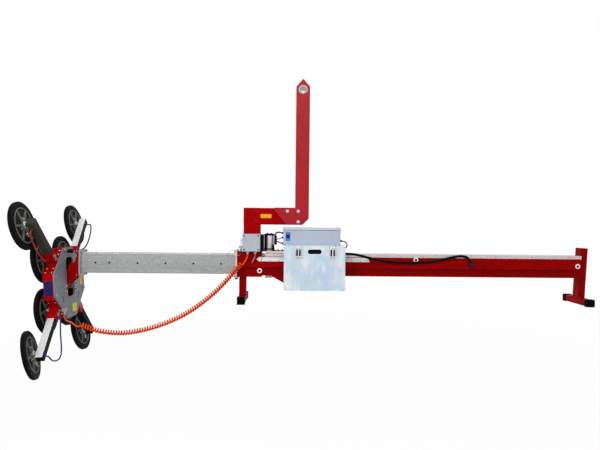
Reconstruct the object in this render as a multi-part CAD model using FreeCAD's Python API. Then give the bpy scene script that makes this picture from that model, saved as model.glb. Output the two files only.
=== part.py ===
import FreeCAD, Part
import math
import os

# Glass panel lifter that hangs from a crane hook. Sizes are in millimetres.
# The origin is the centre of the lifting eye, +X runs along the beam to its tail,
# +Y points away from the chest's door and +Z is up.

V = FreeCAD.Vector
ALONG_X = V(1, 0, 0)
ALONG_Y = V(0, 1, 0)
ALONG_Z = V(0, 0, 1)

# Fits
RUN_FIT = 0.05            # radial gap of pins, spindles and axles
SLIDE_FIT = 0.3           # gap of sliding pads and of rollers on the rail
HOLE_FIT = 0.2            # radial gap of bolts and bushes in their holes

# Mast and gooseneck
EYE_BORE_R = 22
EYE_BUSH_WALL = 8
EYE_BUSH_PROUD = 3
MAST_W = 98
MAST_TIP = 78             # above the eye
MAST_SHOULDER = 23        # above the eye
MAST_WEB = 6
MAST_EDGE = 5             # rounding of the mast's long edges
CHEEK_T = 8
FOOT_TOE_TOP = 209        # the cheeks reach this far left along the tube's top
FOOT_TOE_BOTTOM = 114
FOOT_CHAMFER = 45
GOOSE = 120
GOOSE_WALL = 6
GOOSE_CORNER = 10
GOOSE_DROP = 910          # tube's centre line below the eye
COLUMN_X = -359
BOLT_R = 7
BOLT_HEAD = 21            # across flats
BOLT_HEAD_T = 9
BOLT_FAR_X = -105
BOLT_NEAR_X = -27
BOLT_EDGE = 22            # bolt's distance from the tube's top and bottom

# Arm, and the channel that it slides in
BEAM_DROP = 1256          # beam's centre line below the eye
ARM_W = 84
ARM_H = 146
ARM_WALL = 5
ARM_CORNER = 6
ARM_SIDE_GAP = 6
ARM_LIFT_GAP = 3
ARM_HEAD_X = -1590
ARM_TAIL_X = -40
ARM_PLATE_T = 12
ARM_PLATE_W = 124
ARM_PLATE_ABOVE = 92
ARM_PLATE_BELOW = 96
ARM_BOLT_CLEAR = 0.5      # between the bolt heads and the bracket's cheeks
ARM_BOLT_EDGE = 10
ARM_BOLT_R = 4
ARM_BOLT_HEAD = 13
ARM_BOLT_HEAD_T = 7
HOLE_R = 7
HOLE_PITCH = 200
HOLE_COUNT = 5
HOLE_X = -578
END_HOLE_BACK = 100       # extra hole this far past the last one
TAIL_PAD_L = 60

# Beam
BEAM_WALL = 6
BEAM_FLOOR = 5
BAND_PROUD = 8            # upper band stands this far out of the lower wall
BAND_BELOW = 22           # its lower edge below the centre line
BAND_SHORT = 53           # band's fill starts this far before the tail
BEAM_END = 2036
BEAM_END_T = 6
RAIL_X = -261
RAIL_DEPTH = 24
RAIL_TOP_T = 4
RAIL_LIP = 6
RAIL_INSET = 2
SLEEVE_X = -462
SLEEVE_END = -286
SLEEVE_H = 180
MOUTH_T = 14
MOUTH_W = 140
MOUTH_H = 200
GUIDE_L = 150
GUIDE_W = 60
BUSH_FLANGE_R = 18
BUSH_FLANGE_T = 3
BUSH_R = 11
BUSH_BORE_R = 7
BUSH_SLEEVE_X = -300      # bush in the sleeve, then one in the band and one at the tail
BUSH_SLEEVE_Z = -46
BUSH_BAND_X = 826
BUSH_BAND_Z = 42
BUSH_TAIL_IN = 29         # tail bush in from the beam's end
BUSH_TAIL_Z = 5
STRIP_X = -322
STRIP_END = 492
STRIP_H = 31
STRIP_T = 1
STRIP_DOWN = 3            # below the red wall's top edge

# Stands
LEG = 50
LEG_X = -424
FOOT_DROP = 272           # feet below the beam's centre line
FOOT_H = 46
FOOT_W = 48
FOOT_L = 340
CAP_L = 36
CAP_T = 3
POST_W = 52
POST_D = 72
POST_RAKE = 3             # degrees, the post's top leans to the tail
POST_ABOVE = 58           # above the rail

# Locking pin of the arm
LOCK_X = -441
LOCK_R = 6
LOCK_HOLE_FIT = 3         # play of the pin in the arm's holes
LOCK_DROP = 20
LOCK_REST_GAP = 0.6       # nose above the arm at rest
LOCK_KNOB_R = 13
LOCK_KNOB_H = 15
LOCK_STROKE_GAP = 3       # knob above its seat at full stroke

# Junction box on the column
JBOX_W = 124
JBOX_H = 122
JBOX_D = 60
JBOX_LID = 16
JBOX_WALL = 4
JBOX_EDGE = 6
JBOX_LIFT = 6             # above the sleeve
GLAND_HEX = 22
GLAND_NUT_H = 7
GLAND_R = 9
GLAND_L = 11
GLAND_HOSE_X = -385
GLAND_LEAD_X = -331
GLAND_OUT = 32            # glands in front of the column
BRACKET_W = 22
BRACKET_H = 80
BRACKET_T = 5
BRACKET_Y = -31
BRACKET_SLOT_R = 5
BRACKET_SLOT_L = 36
BRACKET_LIFT = 12

# Cart
CART_X = -118
CART_L = 410
CART_GAP = 28             # cart's side plates stand this far off the band
CART_PLATE = 6
CART_TOP_T = 8
WHEEL_R = 24
WHEEL_W = 60
WHEEL_HEAD = 2            # wheel below the top plate
WHEEL_IN = 58             # wheels in from the cart's ends
AXLE_R = 8
LUG_T = 8
LUG_R = 16
LUG_GAP = 4
SHELF_X = -296
SHELF_W = 120
SHELF_T = 5
SHELF_LIFT = 3            # shelf above the sleeve's top
BELLY_DROP = 52           # cart's floor below the beam
WING_X = -212
WING_Y = 42
WING_T = 8
WING_GAP = 4
ROLLER_R = 11
ROLLER_W = 56
ROLLER_AXLE_R = 4
ROLLER_X = -251
ROLLER_PITCH = 26
ROLLER_ARM_H = 18
WEIGHT_T = 29
WEIGHT_COUNT = 5
WEIGHT_H = 270
WEIGHT_EDGE = 25

# Drive
MOTOR_X = -234
MOTOR_R = 37
MOTOR_H = 110
MOTOR_FLANGE_R = 43
MOTOR_FLANGE_T = 6
MOTOR_CAP_R = 30
MOTOR_CAP_H = 12
TERMINAL_OUT = 16         # terminal box stands this far out of the can
TERMINAL_W = 44
TERMINAL_H = 64
TERMINAL_DROP = 2         # below the can's top
GEARBOX_W = 22
GEARBOX_D = 70
GEARBOX_H = 116

# Control box on the cart
CONTROL_OUT = 14          # box stands out of the cart's head end
CONTROL_IN = 16           # and short of its tail end
CONTROL_D = 188
CONTROL_H = 112
CONTROL_WALL = 4
CONTROL_LIP = 4
CONTROL_LID_H = 16
CONTROL_EDGE = 3

# Chest, its door and latches
CHEST_X = -125
CHEST_L = 421
CHEST_H = 304
CHEST_D = 150
CHEST_TOP_DROP = 144      # chest's top above the beam's centre line
CHEST_WALL = 3
DOOR_T = 4
DOOR_GAP = 1
HINGE_R = 4
HINGE_OUT = 2             # hinge line in front of the door
KNUCKLE_L = 20
SLOT_L = 98
SLOT_H = 34
SLOT_DROP = 40            # slot's centre below the door's top
LATCH_X = -26
LATCH_PITCH = 234
LATCH_W = 34
LATCH_H = 62
LATCH_T = 5
LATCH_DROP = 12           # latch's top below the door's top
LATCH_EAR = 6
LATCH_BASE_T = 2
LATCH_PIN_R = 3
LATCH_STAND = 10          # latch's pin in front of the door
BATTERY_L = 180
BATTERY_D = 110
BATTERY_H = 150
PUMP_R = 48
PUMP_L = 150

# Head: tilt bracket, back plate and turning housing
PIVOT_DROP = 160          # tilt axis below the beam's centre line
PIVOT_R = 12
BOSS_R = 24
YOKE_Y = 50
YOKE_T = 10
YOKE_H = 72
BRACKET_CHEEK = 12
BRACKET_GAP = 4           # between the bracket's cheeks and the yoke
BRACKET_TOP_DROP = 12
BRACKET_TOE_RISE = 67     # lower end of the cheeks above the tilt axis
PLATE_X = -1672           # back face of the back plate, before the head leans
PLATE_T = 8
PIVOT_IN = 30             # tilt axis in front of that face
HEAD_RISE = 14            # turning axis above the tilt axis
HEAD_LEAN = 4             # degrees, the head's lean about the tilt axis at rest
OCT_W = 524
OCT_H = 500
OCT_FLAT = 150
PLATE_SLOT_W = 122
PLATE_SLOT_UP = 180
PLATE_SLOT_DOWN = 100
PLATE_SLOT_R = 30
ARC_SLOT_Y = 132
ARC_SLOT_Z = -110
ARC_SLOT_L = 46
ARC_SLOT_R = 6
ARC_SLOT_TILT = 20        # degrees
DISC_R = 80
DISC_T = 8
DISC_GAP = 2
SPINDLE_R = 50
SPINDLE_CAP_R = 64
SPINDLE_CAP_T = 8
HOUSING_GAP = 1.5         # between the back plate and the housing
HOUSING_WALL = 6
HOUSING_FRONT_T = 10
KNOB_Z = 224
KNOB_R = 14
KNOB_H = 20
FITTING_Y = -165
FITTING_Z = -176
FITTING = 26
FITTING_NOSE_R = 8
FITTING_NOSE_L = 22

# Extension arms of the head
EXT = 48
EXT_WALL = 4
EXT_TILT = 45             # degrees
EXT_SOCKET_WALL = 5
EXT_SOCKET_IN = 170       # socket's ends from the turning axis
EXT_SOCKET_OUT = 330
EXT_INNER = 175
EXT_PAST_PAD = 34         # arm's end past its pad's stud
EXT_BACK = 36             # arm's centre plane in front of the back plate
OUTER_PAD_GAP = 30        # between an outer pad and the main pad beside it

# Suction pads
MAIN_PAD_Y = 166
MAIN_PAD_Z = 177
PAD_R = 160
PAD_LIP_R = 118
PAD_DEPTH = 30            # rubber's face in front of the ball
PAD_LIP_T = 14
PAD_SKIRT_BACK = 4        # skirt's back edge in front of the ball
PAD_PLATE_R = 147
PAD_PLATE_T = 8
PAD_RIB_W = 14
PAD_RIB_H = 8
PAD_RIBS = 6
PAD_RIM = 14
PAD_HUB_R = 30
PAD_HUB_BACK = 10
PAD_BALL_OUT = 94         # balls in front of the back plate's back face
MAIN_DROOP = 5            # degrees, the pads hang on their stops
OUTER_DROOP = 9
PAD_TURN = 12             # degrees, the turn of the near lower outer pad on its ball
BALL_R = 14
BALL_FIT = 0.3
STUD_R = 8
TAB_R = 42

# Hoses and leads
SPIRAL_R = 13             # centre line of the curls
SPIRAL_TUBE_R = 4
SPIRAL_TURNS = 70
CABLE_R = 9
CLIP_WALL = 1.5
CLIP_L = 14
CLIP_W = 30
THIN_R = 3
WIRE_R = 1.25
PAD_HOSE_R = 4
HOSE_IN = 18              # hose's start in from the socket's end
SIDE_HOSE_IN = 30

# Worked out places
BEAM_Z = -BEAM_DROP
CHANNEL_Y = ARM_W / 2 + ARM_SIDE_GAP
CHANNEL_H = ARM_H / 2 + ARM_LIFT_GAP
WALL_Y = CHANNEL_Y + BEAM_WALL
BAND_Y = WALL_Y + BAND_PROUD
FLOOR_Z = BEAM_Z - CHANNEL_H - BEAM_FLOOR
RAIL_Z = BEAM_Z + CHANNEL_H + RAIL_TOP_T
RED_TOP = RAIL_Z - RAIL_DEPTH
SLEEVE_TOP = BEAM_Z + SLEEVE_H / 2
SLEEVE_FLOOR = BEAM_Z - SLEEVE_H / 2
ARM_TOP = BEAM_Z + ARM_H / 2
GOOSE_Z = -GOOSE_DROP
GOOSE_TOP = GOOSE_Z + GOOSE / 2
GOOSE_FLOOR = GOOSE_Z - GOOSE / 2
CHEEK_Y = GOOSE / 2 + CHEEK_T
COLUMN_LEFT = COLUMN_X - GOOSE / 2
FOOT_Z = BEAM_Z - FOOT_DROP
JBOX_Z = SLEEVE_TOP + JBOX_LIFT
JBOX_FRONT = -GOOSE / 2 - JBOX_D
GLAND_Y = -GOOSE / 2 - GLAND_OUT
GLAND_END = JBOX_Z - GLAND_NUT_H - GLAND_L
CART_Y = BAND_Y + CART_GAP + CART_PLATE
CART_END = CART_X + CART_L
CONTROL_X = CART_X - CONTROL_OUT
CONTROL_L = CART_L - CONTROL_IN + CONTROL_OUT
WHEEL_Z = RAIL_Z + WHEEL_R + SLIDE_FIT
CART_ROOF = WHEEL_Z + WHEEL_R + WHEEL_HEAD
CART_TOP = CART_ROOF + CART_TOP_T
CART_FLOOR = FLOOR_Z - BELLY_DROP
SHELF_Z = SLEEVE_TOP + SHELF_LIFT
SHELF_TOP = SHELF_Z + SHELF_T
CHEST_TOP = BEAM_Z + CHEST_TOP_DROP
CHEST_FLOOR = CHEST_TOP - CHEST_H
CHEST_BACK = -CART_Y
CHEST_FRONT = CHEST_BACK - CHEST_D
DOOR_FRONT = CHEST_FRONT - DOOR_GAP - DOOR_T
HINGE_Y = DOOR_FRONT - HINGE_OUT
HINGE_Z = CHEST_FLOOR
PIVOT_X = PLATE_X - PIVOT_IN
PIVOT_Z = BEAM_Z - PIVOT_DROP
HEAD_Z = PIVOT_Z + HEAD_RISE
BRACKET_Y_OUT = YOKE_Y - BRACKET_GAP
PLATE_FRONT = PLATE_X - PLATE_T
DISC_X = PIVOT_X - BOSS_R - DISC_GAP
HOUSING_BACK = PLATE_FRONT - HOUSING_GAP
HOUSING_INSIDE = DISC_X - DISC_T - DISC_GAP
HOUSING_FRONT = HOUSING_INSIDE - HOUSING_FRONT_T
EXT_X = PLATE_FRONT - EXT_BACK
PAD_BALL_X = PLATE_X - PAD_BALL_OUT
EXT_PAD_R = math.hypot(MAIN_PAD_Y, MAIN_PAD_Z) + 2 * PAD_R + OUTER_PAD_GAP
EXT_OUTER = EXT_PAD_R + EXT_PAST_PAD

SIDES = {"near": -1, "far": 1}
LEVELS = {"upper": 1, "lower": -1}


def block(x0, x1, y0, y1, z0, z1):
    """Box between two corners."""
    return Part.makeBox(x1 - x0, y1 - y0, z1 - z0, V(x0, y0, z0))


def rod(start, axis, radius, length):
    """Cylinder from a point along an axis."""
    return Part.makeCylinder(radius, length, start, axis)


def tube(start, axis, outer, inner, length):
    """Round tube."""
    return rod(start, axis, outer, length).cut(rod(start, axis, inner, length))


def face_of(points):
    """Flat face with straight edges through the points."""
    return Part.Face(Part.makePolygon(points + points[:1]))


def plate_y(points, y0, y1):
    """Plate with an outline of (x, z) points, from y0 to y1."""
    return face_of([V(x, y0, z) for x, z in points]).extrude(V(0, y1 - y0, 0))


def plate_x(points, x0, x1):
    """Plate with an outline of (y, z) points, from x0 to x1."""
    return face_of([V(x0, y, z) for y, z in points]).extrude(V(x1 - x0, 0, 0))


def rounded(shape, axis, radius):
    """Round the edges that run along an axis."""
    edges = []
    for edge in shape.Edges:
        run = edge.Vertexes[-1].Point.sub(edge.Vertexes[0].Point)
        if run.Length > 0 and run.normalize().cross(axis).Length < 1e-6:
            edges.append(edge)
    return shape.makeFillet(radius, edges)


def hexagon(start, axis, across, length):
    """Hexagonal prism on a point, six flats, along an axis."""
    radius = across / math.sqrt(3)
    corners = []
    for step in range(6):
        turn = math.radians(60 * step)
        corners.append(V(radius * math.cos(turn), radius * math.sin(turn), 0))
    prism = face_of(corners).extrude(V(0, 0, length))
    prism.Placement = FreeCAD.Placement(start, FreeCAD.Rotation(ALONG_Z, axis))
    return prism


def join(shapes):
    """One solid from touching pieces."""
    first = shapes[0]
    return first.multiFuse(shapes[1:]).removeSplitter() if len(shapes) > 1 else first


def both_sides(y0, y1):
    """The two y spans of a mirrored pair of plates."""
    return [(-y1, -y0), (y0, y1)]


def octagon(inset):
    """Outline of the head in (y, z), drawn in by an inset."""
    wide = OCT_W / 2 - inset
    high = OCT_H / 2 - inset
    flat = OCT_FLAT / 2 - inset * math.tan(math.pi / 8)
    quarter = [(flat, high), (wide, flat)]
    right = quarter + [(y, -z) for y, z in reversed(quarter)]
    left = [(-y, z) for y, z in reversed(right)]
    return [(y, HEAD_Z + z) for y, z in right + left]


def parted(body, cutters):
    """The body's solids, cut apart along the sides of boxes."""
    solids = []
    for cutter in cutters:
        solids += body.common(cutter).Solids
        body = body.cut(cutter)
    return Part.makeCompound(solids + body.Solids)


def mast():
    """Two cheek plates that straddle the gooseneck, closed by webs up to a gable, with a welded toe each."""
    half = MAST_W / 2
    outline = [(0, MAST_TIP), (half, MAST_SHOULDER), (half, GOOSE_FLOOR + FOOT_CHAMFER),
               (half - FOOT_CHAMFER, GOOSE_FLOOR), (-FOOT_TOE_BOTTOM, GOOSE_FLOOR),
               (-FOOT_TOE_TOP, GOOSE_TOP), (-half, GOOSE_TOP), (-half, MAST_SHOULDER)]
    pieces = [plate_y(outline, y0, y1) for y0, y1 in both_sides(GOOSE / 2, CHEEK_Y)]
    pieces.append(block(-half, -half + MAST_WEB, -GOOSE / 2, GOOSE / 2, GOOSE_TOP, MAST_SHOULDER))
    pieces.append(block(half - MAST_WEB, half, -GOOSE / 2, GOOSE / 2,
                        GOOSE_FLOOR + FOOT_CHAMFER, MAST_SHOULDER))
    slope = MAST_WEB * math.sqrt(2)
    heel = [(half, GOOSE_FLOOR + FOOT_CHAMFER), (half - FOOT_CHAMFER, GOOSE_FLOOR),
            (half - FOOT_CHAMFER, GOOSE_FLOOR + slope),
            (half - MAST_WEB, GOOSE_FLOOR + FOOT_CHAMFER - MAST_WEB + slope)]
    pieces.append(plate_y(heel, -GOOSE / 2, GOOSE / 2))
    body = join(pieces)
    edges = []
    for edge in body.Edges:
        ends = [vertex.Point for vertex in edge.Vertexes]
        upright = len(ends) == 2 and abs(ends[0].x - ends[1].x) < 1e-6 and abs(ends[0].y - ends[1].y) < 1e-6
        if upright and abs(abs(ends[0].x) - half) < 1e-6 and abs(abs(ends[0].y) - CHEEK_Y) < 1e-6:
            edges.append(edge)
    body = body.makeFillet(MAST_EDGE, edges)
    body = body.cut(rod(V(0, -CHEEK_Y, 0), ALONG_Y, eye_bush_r() + HOLE_FIT, 2 * CHEEK_Y))
    body = drilled_for_bolts(body)
    toes = block(-FOOT_TOE_TOP, -half, -CHEEK_Y, CHEEK_Y, GOOSE_FLOOR, GOOSE_TOP)
    return parted(body, [toes])


def eye_bush_r():
    """Outer radius of the lifting eye's bush."""
    return EYE_BORE_R + EYE_BUSH_WALL


def eye_bush():
    """Steel bush through both cheeks: its bore takes the crane's shackle."""
    length = 2 * (CHEEK_Y + EYE_BUSH_PROUD)
    return tube(V(0, -length / 2, 0), ALONG_Y, eye_bush_r(), EYE_BORE_R, length)


def bolt_places():
    """Axes (x, z) of the bolts that hold the mast on the gooseneck."""
    upper = GOOSE_TOP - BOLT_EDGE
    return [(BOLT_FAR_X, upper), (BOLT_NEAR_X, upper), (BOLT_NEAR_X, GOOSE_FLOOR + BOLT_EDGE)]


def drilled_for_bolts(body):
    """Cut the mast's bolt holes."""
    for x, z in bolt_places():
        body = body.cut(rod(V(x, -CHEEK_Y, z), ALONG_Y, BOLT_R + HOLE_FIT, 2 * CHEEK_Y))
    return body


def mast_bolts():
    """Through bolts with a head in front and a nut behind."""
    bolts = []
    for x, z in bolt_places():
        shank = rod(V(x, -CHEEK_Y, z), ALONG_Y, BOLT_R, 2 * CHEEK_Y)
        head = hexagon(V(x, -CHEEK_Y - BOLT_HEAD_T, z), ALONG_Y, BOLT_HEAD, BOLT_HEAD_T)
        nut = hexagon(V(x, CHEEK_Y, z), ALONG_Y, BOLT_HEAD, BOLT_HEAD_T)
        bolts.append(join([shank, head, nut]))
    return Part.makeCompound(bolts)


def gooseneck():
    """Square tube: a column on the sleeve and a level run into the mast's foot."""
    half = GOOSE / 2
    inner = half - GOOSE_WALL
    reach = MAST_W / 2 - FOOT_CHAMFER
    column = block(COLUMN_LEFT, COLUMN_X + half, -half, half, SLEEVE_TOP, GOOSE_TOP)
    level = block(COLUMN_LEFT, reach, -half, half, GOOSE_FLOOR, GOOSE_TOP)
    body = join([rounded(column, ALONG_Z, GOOSE_CORNER), rounded(level, ALONG_X, GOOSE_CORNER)])
    body = body.cut(block(COLUMN_X - inner, COLUMN_X + inner, -inner, inner, SLEEVE_TOP, GOOSE_Z + inner))
    body = body.cut(block(COLUMN_X - inner, reach, -inner, inner, GOOSE_Z - inner, GOOSE_Z + inner))
    return drilled_for_bolts(body)


def main_beam():
    """Open channel with a proud upper band, closed at its tail and made of four plates."""
    step = BEAM_Z - BAND_BELOW
    half = [(BAND_Y, RED_TOP), (BAND_Y, step), (WALL_Y, step), (WALL_Y, FLOOR_Z)]
    inside = [(CHANNEL_Y, BEAM_Z - CHANNEL_H), (CHANNEL_Y, RED_TOP)]
    outline = [(-y, z) for y, z in half] + half[::-1] + inside[::-1] + [(-y, z) for y, z in inside]
    pieces = [plate_x(outline, SLEEVE_END, BEAM_END)]
    for y0, y1 in both_sides(WALL_Y, BAND_Y):
        pieces.append(block(BEAM_END - BAND_SHORT, BEAM_END, y0, y1, FLOOR_Z, step))
    pieces.append(block(BEAM_END - BEAM_END_T, BEAM_END, -CHANNEL_Y, CHANNEL_Y, BEAM_Z - CHANNEL_H, RED_TOP))
    body = cut_for_bushes(join(pieces).cut(rear_post()))
    inside_end = BEAM_END - BEAM_END_T
    floor = block(SLEEVE_END, inside_end, -CHANNEL_Y, CHANNEL_Y, FLOOR_Z, RED_TOP)
    end = block(inside_end, BEAM_END, -CHANNEL_Y, CHANNEL_Y, FLOOR_Z, RED_TOP)
    near = block(SLEEVE_END, BEAM_END, -BAND_Y, -CHANNEL_Y, FLOOR_Z, RED_TOP)
    return parted(body, [floor, end, near])


def top_rail():
    """Galvanised cap that closes the channel and carries the cart's wheels."""
    out = BAND_Y - RAIL_INSET
    inside = out - RAIL_LIP
    under = RAIL_Z - RAIL_TOP_T
    outline = [(-out, RED_TOP), (-out, RAIL_Z), (out, RAIL_Z), (out, RED_TOP),
               (inside, RED_TOP), (inside, under), (-inside, under), (-inside, RED_TOP)]
    body = plate_x(outline, RAIL_X, BEAM_END).cut(rear_post())
    return parted(body, [block(RAIL_X, BEAM_END, -out, out, under, RAIL_Z)])


def channel_hole(x0, x1):
    """The space that the arm slides through."""
    return block(x0, x1, -CHANNEL_Y, CHANNEL_Y, BEAM_Z - CHANNEL_H, BEAM_Z + CHANNEL_H)


def beam_sleeve():
    """Thick box at the beam's mouth that guides the arm and carries the column."""
    body = block(SLEEVE_X, SLEEVE_END, -BAND_Y, BAND_Y, SLEEVE_FLOOR, SLEEVE_TOP)
    body = body.cut(channel_hole(SLEEVE_X, SLEEVE_END))
    body = body.cut(rod(V(LOCK_X, 0, BEAM_Z), ALONG_Z, LOCK_R + RUN_FIT, SLEEVE_H))
    return cut_for_bushes(body)


def mouth_flange():
    """Flange at the mouth of the sleeve."""
    body = block(SLEEVE_X - MOUTH_T, SLEEVE_X, -MOUTH_W / 2, MOUTH_W / 2,
                 BEAM_Z - MOUTH_H / 2, BEAM_Z + MOUTH_H / 2)
    return body.cut(channel_hole(SLEEVE_X - MOUTH_T, SLEEVE_X))


def slide_pads(x0, x1, on_arm):
    """Four wear pads between the arm and the channel, on the arm or on the channel."""
    shift = 0 if on_arm else SLIDE_FIT
    near_y = ARM_W / 2 + shift
    near_z = ARM_H / 2 + shift
    thick_y = ARM_SIDE_GAP - SLIDE_FIT
    thick_z = ARM_LIFT_GAP - SLIDE_FIT
    pads = []
    for y0, y1 in both_sides(near_y, near_y + thick_y):
        pads.append(block(x0, x1, y0, y1, BEAM_Z - GUIDE_W / 2, BEAM_Z + GUIDE_W / 2))
    for z0, z1 in both_sides(near_z, near_z + thick_z):
        pads.append(block(x0, x1, -GUIDE_W / 2, GUIDE_W / 2, BEAM_Z + z0, BEAM_Z + z1))
    return pads


def guide_pads():
    """Wear pads fixed inside the sleeve."""
    hole = rod(V(LOCK_X, 0, BEAM_Z), ALONG_Z, LOCK_R + RUN_FIT, SLEEVE_H)
    return Part.makeCompound([pad.cut(hole) for pad in slide_pads(SLEEVE_X, SLEEVE_X + GUIDE_L, False)])


def arm_tail_pads():
    """Wear pads fixed on the arm's tail."""
    return Part.makeCompound(slide_pads(ARM_TAIL_X - TAIL_PAD_L, ARM_TAIL_X, True))


def bush_places():
    """Places (x, z) of the eyelet bushes, with the wall each goes through."""
    return [(BUSH_SLEEVE_X, BEAM_Z + BUSH_SLEEVE_Z), (BUSH_BAND_X, BEAM_Z + BUSH_BAND_Z),
            (BEAM_END - BUSH_TAIL_IN, BEAM_Z + BUSH_TAIL_Z)]


def cut_for_bushes(body):
    """Cut the bushes' holes through both walls."""
    for x, z in bush_places():
        body = body.cut(rod(V(x, -BAND_Y, z), ALONG_Y, BUSH_R + HOLE_FIT, 2 * BAND_Y))
    return body


def beam_bushes():
    """Flanged eyelet bushes in both walls."""
    bushes = []
    for x, z in bush_places():
        for side in SIDES.values():
            out = V(0, side, 0)
            face = V(x, side * BAND_Y, z)
            flange = rod(face, out, BUSH_FLANGE_R, BUSH_FLANGE_T)
            barrel = rod(V(x, side * CHANNEL_Y, z), out, BUSH_R, BAND_Y - CHANNEL_Y)
            bore = rod(V(x, side * CHANNEL_Y, z), out, BUSH_BORE_R, BAND_Y - CHANNEL_Y + BUSH_FLANGE_T)
            bushes.append(join([flange, barrel]).cut(bore))
    return bushes


def scale_strip():
    """Thin strip along the band that shows the cart's place."""
    top = RED_TOP - STRIP_DOWN
    outline = [(STRIP_X, top - STRIP_H / 2), (STRIP_X + STRIP_H / 2, top), (STRIP_END - STRIP_H / 2, top),
               (STRIP_END, top - STRIP_H), (STRIP_X + STRIP_H / 2, top - STRIP_H)]
    return plate_y(outline, -BAND_Y - STRIP_T, -BAND_Y)


def foot_bar(x):
    """Crosswise bar under a stand."""
    return block(x - FOOT_W / 2, x + FOOT_W / 2, -FOOT_L / 2, FOOT_L / 2, FOOT_Z, FOOT_Z + FOOT_H)


def front_stand():
    """Leg and foot bar under the sleeve."""
    leg = block(LEG_X - LEG / 2, LEG_X + LEG / 2, -LEG / 2, LEG / 2, FOOT_Z + FOOT_H, SLEEVE_FLOOR)
    return join([leg, foot_bar(LEG_X)])


def rear_post():
    """Raked post at the beam's tail, before its foot is added."""
    top = RAIL_Z + POST_ABOVE
    post = block(BEAM_END, BEAM_END + POST_W, -POST_D / 2, POST_D / 2, FOOT_Z, top)
    post.rotate(V(BEAM_END, 0, BEAM_Z), ALONG_Y, POST_RAKE)
    return post


def rear_foot_x():
    """Middle of the rear foot bar, under the raked post."""
    return BEAM_END + POST_W / 2 - (BEAM_Z - FOOT_Z) * math.tan(math.radians(POST_RAKE))


def rear_stand():
    """Raked post and foot bar at the beam's tail, level at the floor."""
    post = rear_post()
    below = block(SLEEVE_X, 2 * BEAM_END, -FOOT_L, FOOT_L, FOOT_Z - FOOT_H, FOOT_Z + FOOT_H / 2)
    return join([post.cut(below), foot_bar(rear_foot_x())])


def foot_caps():
    """Plastic caps over the ends of both foot bars."""
    caps = []
    for x in (LEG_X, rear_foot_x()):
        for side in SIDES.values():
            end = side * FOOT_L / 2
            spans = sorted([end - side * CAP_L, end + side * CAP_T])
            cap = block(x - FOOT_W / 2 - CAP_T, x + FOOT_W / 2 + CAP_T, spans[0], spans[1],
                        FOOT_Z - CAP_T, FOOT_Z + FOOT_H + CAP_T)
            caps.append(cap.cut(foot_bar(x)))
    return Part.makeCompound(caps)


def locking_pin():
    """Drop pin with a knob; its nose stands just clear of the arm."""
    nose = ARM_TOP + LOCK_REST_GAP
    knob_z = SLEEVE_TOP + LOCK_DROP + LOCK_STROKE_GAP
    shank = rod(V(LOCK_X, 0, nose), ALONG_Z, LOCK_R, knob_z - nose)
    knob = rod(V(LOCK_X, 0, knob_z), ALONG_Z, LOCK_KNOB_R, LOCK_KNOB_H)
    return join([shank, knob])


def junction_box():
    """Wall box and lid on the column's front face."""
    x0 = COLUMN_X - JBOX_W / 2
    x1 = COLUMN_X + JBOX_W / 2
    back = -GOOSE / 2
    seam = JBOX_FRONT + JBOX_LID
    base = rounded(block(x0, x1, seam, back, JBOX_Z, JBOX_Z + JBOX_H), ALONG_Y, JBOX_EDGE)
    base = base.cut(block(x0 + JBOX_WALL, x1 - JBOX_WALL, seam, back - JBOX_WALL,
                          JBOX_Z + JBOX_WALL, JBOX_Z + JBOX_H - JBOX_WALL))
    lid = rounded(block(x0, x1, JBOX_FRONT, seam, JBOX_Z, JBOX_Z + JBOX_H), ALONG_Y, JBOX_EDGE)
    return Part.makeCompound([base, lid])


def cable_glands():
    """Hexagon glands under the junction box."""
    glands = []
    for x in (GLAND_HOSE_X, GLAND_LEAD_X):
        nut = hexagon(V(x, GLAND_Y, JBOX_Z - GLAND_NUT_H), ALONG_Z, GLAND_HEX, GLAND_NUT_H)
        nose = rod(V(x, GLAND_Y, GLAND_END), ALONG_Z, GLAND_R, GLAND_L)
        glands.append(join([nut, nose]))
    return Part.makeCompound(glands)


def hose_bracket():
    """Slotted plate on the column's side that the lanyard is tied to."""
    z0 = SLEEVE_TOP + BRACKET_LIFT
    y0 = BRACKET_Y - BRACKET_T / 2
    middle = COLUMN_LEFT - BRACKET_W / 2
    body = block(COLUMN_LEFT - BRACKET_W, COLUMN_LEFT, y0, y0 + BRACKET_T, z0, z0 + BRACKET_H)
    low = z0 + (BRACKET_H - BRACKET_SLOT_L) / 2
    slot = [rod(V(middle, y0, low), ALONG_Y, BRACKET_SLOT_R, BRACKET_T),
            rod(V(middle, y0, low + BRACKET_SLOT_L), ALONG_Y, BRACKET_SLOT_R, BRACKET_T),
            block(middle - BRACKET_SLOT_R, middle + BRACKET_SLOT_R, y0, y0 + BRACKET_T,
                  low, low + BRACKET_SLOT_L)]
    return body.cut(join(slot))


def wheel_places():
    """Axle x of the drive wheel and of the idler wheel."""
    return CART_X + WHEEL_IN, CART_END - WHEEL_IN


def roller_places():
    """Axle x of the two rollers under the beam."""
    return ROLLER_X, ROLLER_X + ROLLER_PITCH


def roller_z():
    """Axle height of the lower rollers."""
    return FLOOR_Z - SLIDE_FIT - ROLLER_R


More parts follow.
